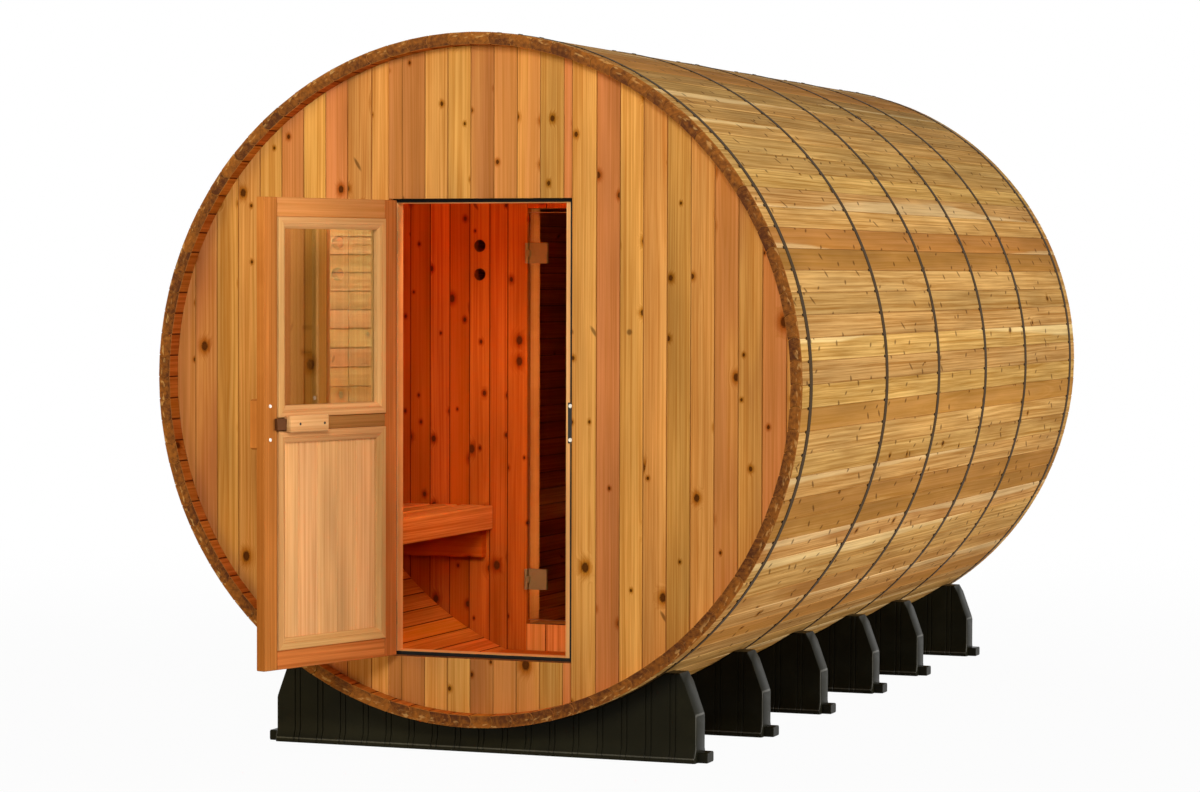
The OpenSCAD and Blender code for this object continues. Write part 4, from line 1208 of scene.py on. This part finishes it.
class SAUNA_OT_outer_door(bpy.types.Operator):
    """Outer door: frame, panel, window, mitred beads, handles and screws, drawn closed and swung open"""

    bl_idname = "sauna.outer_door"
    bl_label = "Outer door"

    def execute(self, context):
        s = sizes()
        over_low, over_high = node_box("front_wall_over_door")
        sill = node_box("front_wall_under_door")[1][2]
        left, right = over_low[0] + s.door_gap, over_high[0] - s.door_gap
        bottom, top = sill + s.door_gap, over_low[2] - s.door_gap
        set_back, panel_h, lock_rail = 0.008, 0.655, 0.041
        hair, edge, pane_cut, board_cut = 0.0003, 0.002, 0.0006, 0.0016
        inside = over_high[1] - set_back
        outside = inside - s.door_t
        middle = (inside + outside) / 2
        panel_low, panel_high = bottom + s.stile_w, bottom + s.stile_w + panel_h
        pane_low, pane_high = panel_high + lock_rail, top - s.stile_w
        x0, x1 = left + s.stile_w, right - s.stile_w

        stock = Stock(opened)
        stile = cut_rectangle(s.stile_w - hair, s.door_t, edge)
        for k, x in enumerate((left + s.stile_w / 2, right - s.stile_w / 2)):
            stock.add(carry(stile, bottom, top, edge), (x, middle, 0.0), UPRIGHT, steady(8000 + k), 0, 1)
        rails = ((bottom, panel_low), (panel_high, pane_low), (pane_high, top))
        for k, (z0, z1) in enumerate(rails):
            rail = cut_rectangle(z1 - z0, s.door_t, edge)
            wood = 2 if k == 1 else 0
            stock.add(carry(rail, x0, x1), (0.0, middle, (z0 + z1) / 2), CROSSWISE, steady(8010 + k), wood)
        woods = ["door_cedar", "wall_end_grain", "rail_cedar"]
        stock.piece("door_stiles", "outer_door", "door_frame", "door_cedar", woods)

        stock = Stock(opened)
        pane = cut_rectangle(x1 - x0, s.window_t, pane_cut)
        stock.add(carry(pane, pane_low, pane_high), ((x0 + x1) / 2, middle, 0.0))
        stock.piece("door_glass", "outer_door", "door_window", "window_glass", ["window_glass"])

        stock = Stock(opened)
        pitch, first = 0.087, 0.121
        joints = board_edges(x0, x1, pitch, first)
        for k in range(len(joints) - 1):
            board = cut_rectangle(joints[k + 1] - joints[k] - hair, s.panel_t, board_cut)
            place = ((joints[k] + joints[k + 1]) / 2, middle, 0.0)
            stock.add(carry(board, panel_low, panel_high), place, UPRIGHT, steady(8100 + k))
        stock.piece("door_panel_boards", "outer_door", "door_panel", "trim_cedar", ["trim_cedar"])

        stock = Stock(opened)
        fillings = ((panel_low, panel_high, s.panel_t, 8200), (pane_low, pane_high, s.window_t, 8300))
        for z0, z1, thick, number in fillings:
            height = (s.door_t - thick) / 2 + s.bead_proud
            for way in (-1, 1):
                base = middle + way * thick / 2
                mitred_beads(stock, x0, x1, z0, z1, base, way, height, s.bead_w, number + 10 * way)
        stock.piece("door_bead_frames", "outer_door", "door_beads", "trim_cedar", ["bead_cedar"])

        lock_z = (panel_high + pane_low) / 2
        catch_w, catch_over, proud = 0.041, 0.013, s.bead_proud + hair
        handle_l, handle_h, handle_deep, handle_cut = 0.173, 0.050, 0.026, 0.003
        tongue_h, tongue_over, tongue_cut, plugs = 0.0404, 0.002, 0.0005, (0.020, 0.128)
        handle_x1 = right - s.stile_w + catch_over - catch_w
        handle_x0 = handle_x1 - handle_l
        stock = Stock(opened)
        tongue = carry(cut_rectangle(tongue_h, proud + tongue_over, tongue_cut), handle_x0, handle_x1)
        stock.add(tongue, (0.0, inside + proud / 2 + tongue_over / 2, lock_z), CROSSWISE, steady(8400))
        section = cut_rectangle(handle_h, handle_deep - proud, handle_cut)
        block = carry(section, handle_x0, handle_x1, handle_cut)
        stock.add(block, (0.0, inside + (proud + handle_deep) / 2, lock_z), CROSSWISE, steady(8400))
        plug = lathe([(0.0042, -0.004), (0.0042, 0.0002), (0.0036, 0.0004), (0.0004, 0.0004)])
        for along in plugs:
            stock.add(plug, (handle_x0 + along, inside + handle_deep, lock_z), INTO_ROOM, finish=1)
        finishes = ["trim_cedar", "keeper_steel"]
        stock.piece("door_block", "outer_door", "door_inner_handle", "door_cedar", finishes)

        stock = Stock(opened)
        catch_h, catch_deep, catch_cut = 0.036, 0.013, 0.0015
        section = cut_rectangle(catch_h, catch_deep, catch_cut)
        catch = carry(section, handle_x1, handle_x1 + catch_w, catch_cut)
        stock.add(catch, (0.0, inside + catch_deep / 2, lock_z), CROSSWISE)
        stock.piece("door_catch_plate", "outer_door", "door_catch", "keeper_steel", ["catch_steel"])

        stock = Stock(opened)
        grip_w, grip_deep, grip_reach, grip_cut = 0.030, 0.042, 0.075, 0.005
        screw_r, screw_proud, screw_aside, screw_rises = 0.0058, 0.0026, 0.003, (-0.045, 0.055)
        grip_x = right - s.stile_w / 2
        section = cut_rectangle(grip_w, grip_deep, grip_cut)
        grip = carry(section, lock_z - grip_reach, lock_z + grip_reach, grip_cut)
        stock.add(grip, (grip_x, outside - grip_deep / 2, 0.0), UPRIGHT, steady(8500))
        screw = lathe(screw_head(screw_r, screw_proud))
        for rise in screw_rises:
            stock.add(screw, (grip_x + screw_aside, inside, lock_z + rise), INTO_ROOM, finish=1)
        finishes = ["door_cedar", "screw_metal"]
        stock.piece("door_grip", "outer_door", "door_outer_handle", "door_cedar", finishes)
        return {"FINISHED"}


class SAUNA_OT_glass_door(bpy.types.Operator):
    """Glass door: the tinted pane with polished edges, and wooden handle bars on round posts"""

    bl_idname = "sauna.glass_door"
    bl_label = "Glass door"

    def execute(self, context):
        low, high = node_box("glass_pane")
        middle = (low + high) / 2
        stock = Stock()
        pane_cut, end_cut = 0.001, 0.0025
        pane = cut_rectangle(high[0] - low[0], high[1] - low[1], pane_cut)
        ends = np.zeros((3, len(pane)), int)
        ends[[0, 2]] = 1
        rings = carry(pane, low[2], high[2], end_cut)
        stock.add(rings, (middle[0], middle[1], 0.0), finish=ends, end_finish=1)
        stock.piece("smoked_pane", "glass_door", "glass_pane", "door_glass", ["smoked_glass", "glass_edge"])
        bar_low, bar_high = node_box("glass_door_handle")
        bar, gap, bar_cut, peg_sides = 0.028, 0.028, 0.004, 24
        x = (bar_low[0] + bar_high[0]) / 2
        stock = Stock()
        grip = carry(cut_rectangle(bar, bar, bar_cut), bar_low[2], bar_high[2], bar_cut)
        peg = lathe([(bar / 4, 0.0), (bar / 4, gap)], peg_sides)
        sides = ((bar_low[1] + bar / 2, low[1] - gap), (bar_high[1] - bar / 2, high[1]))
        for k, (y, post) in enumerate(sides):
            stock.add(grip, (x, y, 0.0), UPRIGHT, steady(9000 + k))
            for share in (-1, 1):
                z = (bar_low[2] + bar_high[2]) / 2 + share * (bar_high[2] - bar_low[2]) / 3
                stock.add(peg, (x, post, z), INTO_ROOM, steady(9010 + k))
        stock.piece("pull_bars", "glass_door", "glass_door_handle", "door_cedar", ["door_cedar"])
        return {"FINISHED"}


class SAUNA_OT_fittings(bpy.types.Operator):
    """Fittings: finishes for the hinges and the seal, whose solids already have their shape"""

    bl_idname = "sauna.fittings"
    bl_label = "Fittings"

    def execute(self, context):
        finishes = {
            "door_hinge_jamb_leaves": "hinge_metal", "door_hinge_leaves": "hinge_metal",
            "glass_hinge_jamb_leaves": "hinge_metal", "glass_hinge_clamps": "hinge_metal",
            "door_seal": "seal_rubber",
        }
        for node, finish in finishes.items():
            data = frame["nodes"][node].data
            data.materials.clear()
            data.materials.append(made_of(finish))
        return {"FINISHED"}


WHITE = (1.0, 1.0, 1.0, 1.0)
STUDIO = (1.0, 0.97, 0.94)
FLOOR_HALF, FLOOR_TONE = 40.0, (0.45, 0.45, 0.45, 1.0)
FADE_FROM, FADE_TO, NEAR_WHITE = 2.5, 9.0, 0.965
DIM_STRENGTH, WHITE_STRENGTH = 0.15, 1.0
CAMERA_PLACE = (4.1593, -10.0636, 1.4845)


def lamp(kind, name, place, power, tint, **settings):
    """A lamp of a kind at a place."""
    data = bpy.data.lights.new(name, kind)
    data.energy = power
    data.color = tint
    for key, value in settings.items():
        setattr(data, key, value)
    made = bpy.data.objects.new(name, data)
    bpy.context.scene.collection.objects.link(made)
    made.location = place
    return made


def area_lamp(name, place, target, size, power, tint, **settings):
    """A soft lamp at a place, facing a target."""
    made = lamp("AREA", name, place, power, tint, size=size, **settings)
    made.rotation_euler = (Vector(target) - Vector(place)).to_track_quat("-Z", "Y").to_euler()
    return made


def point_lamp(name, place, power, tint):
    """A small round lamp at a place."""
    return lamp("POINT", name, place, power, tint, shadow_soft_size=0.06)


def seen_white(g):
    """1 for rays from the camera, off gloss and through glass, and 0 for the rays that light the object."""
    path = g.node("ShaderNodeLightPath").outputs
    rays = ("Is Camera Ray", "Is Transmission Ray", "Is Glossy Ray")
    camera, through, gloss = (Wire(g, path[ray]) for ray in rays)
    return g.math("MAXIMUM", g.math("MAXIMUM", camera, through), gloss)


class SAUNA_OT_stage(bpy.types.Operator):
    """Stage: pale floor, white surround, soft lamps, warm lamps in the changing room and the camera"""

    bl_idname = "sauna.stage"
    bl_label = "Stage"

    def execute(self, context):
        scene = context.scene
        self.floor(scene)
        self.world(scene)
        narrow, slim = math.radians(80), math.radians(24)
        area_lamp("front_lamp", (1.35, -4.4, 3.0), (-0.3, 0.0, 1.6), 1.8, 36.6, STUDIO, spread=narrow)
        area_lamp("side_lamp", (9.0, 1.2, 1.9), (0.0, 1.6, 1.1), 3.5, 585.0, STUDIO)
        area_lamp("low_lamp", (-5.0, -5.5, 1.2), (0.0, 0.0, 0.9), 4.0, 232.0, (1.0, 0.79, 0.32))
        unseen = [
            area_lamp("back_lamp", (-5.0, 9.0, 3.2), (0.0, 3.0, 1.1), 4.0, 380.0, STUDIO),
            area_lamp("stave_lamp", (0.50, 0.45, 1.45), (1.0, 0.47, 1.45), 0.5, 45.0, (0.15, 0.42, 1.0)),
            area_lamp(
                "post_lamp", (0.12, 1.125, 1.0), (-0.3, 1.155, 1.0), 0.01, 0.4, (1.0, 0.85, 0.65),
                shape="RECTANGLE", size_y=1.36, spread=slim,
            ),
            point_lamp("room_lamp", (0.15, 0.0, 1.97), 19.0, (1.0, 0.50, 0.17)),
            point_lamp("low_room_lamp", (0.75, -0.02, 0.95), 18.5, (1.0, 0.48, 0.15)),
        ]
        for hidden in unseen:
            hidden.visible_camera = False
            hidden.visible_glossy = False
            hidden.visible_transmission = False
        self.camera(scene)
        scene.view_settings.view_transform = "Standard"
        return {"FINISHED"}

    def floor(self, scene):
        mesh = bpy.data.meshes.new("stage_floor")
        corners = [(x * FLOOR_HALF, y * FLOOR_HALF, 0.0) for x, y in ((-1, -1), (1, -1), (1, 1), (-1, 1))]
        mesh.from_pydata(corners, [], [(0, 1, 2, 3)])
        floor = bpy.data.objects.new("stage_floor", mesh)
        scene.collection.objects.link(floor)
        material, g, shader = new_material("pale_floor")
        g.put(shader.inputs["Base Color"], FLOOR_TONE)
        g.put(shader.inputs["Roughness"], 0.9)
        g.put(shader.inputs["Specular IOR Level"], 0.0)
        glow = g.node("ShaderNodeEmission")
        g.put(glow.inputs["Color"], WHITE)
        away = g.node("ShaderNodeVectorMath", operation="LENGTH")
        g.put(away.inputs[0], g.place())
        white = g.step(Wire(g, away.outputs["Value"]), FADE_FROM, FADE_TO, NEAR_WHITE, 1.0)
        g.show(g.blend(seen_white(g) * white, shader, glow), "Material Output")
        mesh.materials.append(material)

    def world(self, scene):
        world = bpy.data.worlds.new("white_surround")
        scene.world = world
        world.use_nodes = True
        g = Graph(world.node_tree)
        dim = world.node_tree.nodes["Background"]
        white = g.node("ShaderNodeBackground")
        for shader, strength in ((dim, DIM_STRENGTH), (white, WHITE_STRENGTH)):
            g.put(shader.inputs["Color"], WHITE)
            g.put(shader.inputs["Strength"], strength)
        g.show(g.blend(seen_white(g), dim, white), "World Output")

    def camera(self, scene):
        focal, yaw, pitch, roll = 3510.99, 0.3599, -0.0349, 0.0028
        ahead = Vector((-math.sin(yaw) * math.cos(pitch), math.cos(yaw) * math.cos(pitch), math.sin(pitch)))
        side = Vector((math.cos(yaw), math.sin(yaw), 0.0))
        over = side.cross(ahead)
        right = side * math.cos(roll) + over * math.sin(roll)
        up = over * math.cos(roll) - side * math.sin(roll)
        data = bpy.data.cameras.new("photo_camera")
        data.sensor_fit = "HORIZONTAL"
        data.sensor_width = 36.0
        data.lens = focal * data.sensor_width / PHOTO_WIDTH
        data.clip_end = 200.0
        camera = bpy.data.objects.new("photo_camera", data)
        scene.collection.objects.link(camera)
        basis = Matrix((right, up, -ahead)).transposed().to_4x4()
        basis.translation = Vector(CAMERA_PLACE)
        camera.matrix_world = basis
        scene.camera = camera


OPERATORS = (
    SAUNA_OT_staves, SAUNA_OT_bands, SAUNA_OT_cradles, SAUNA_OT_front_wall, SAUNA_OT_partition,
    SAUNA_OT_back_wall, SAUNA_OT_floor, SAUNA_OT_door_stop, SAUNA_OT_bench, SAUNA_OT_posts,
    SAUNA_OT_outer_door, SAUNA_OT_glass_door, SAUNA_OT_fittings, SAUNA_OT_stage,
)


class SAUNA_PT_pieces(bpy.types.Panel):
    """Sidebar list of the sauna's pieces"""

    bl_idname = "SAUNA_PT_pieces"
    bl_label = "Barrel Sauna"
    bl_space_type = "VIEW_3D"
    bl_region_type = "UI"
    bl_category = "Sauna"

    def draw(self, context):
        for operator in OPERATORS:
            self.layout.operator(operator.bl_idname)


CLASSES = (SaunaSizes, SaunaColours) + OPERATORS + (SAUNA_PT_pieces,)


def register():
    for item in CLASSES:
        bpy.utils.register_class(item)
    bpy.types.Scene.sauna_sizes = PointerProperty(type=SaunaSizes)
    bpy.types.Scene.sauna_colours = PointerProperty(type=SaunaColours)


def unregister():
    del bpy.types.Scene.sauna_colours
    del bpy.types.Scene.sauna_sizes
    for item in reversed(CLASSES):
        bpy.utils.unregister_class(item)


def main():
    register()
    for operator in OPERATORS:
        group, word = operator.bl_idname.split(".")
        getattr(getattr(bpy.ops, group), word)()


if __name__ == "__main__":
    main()
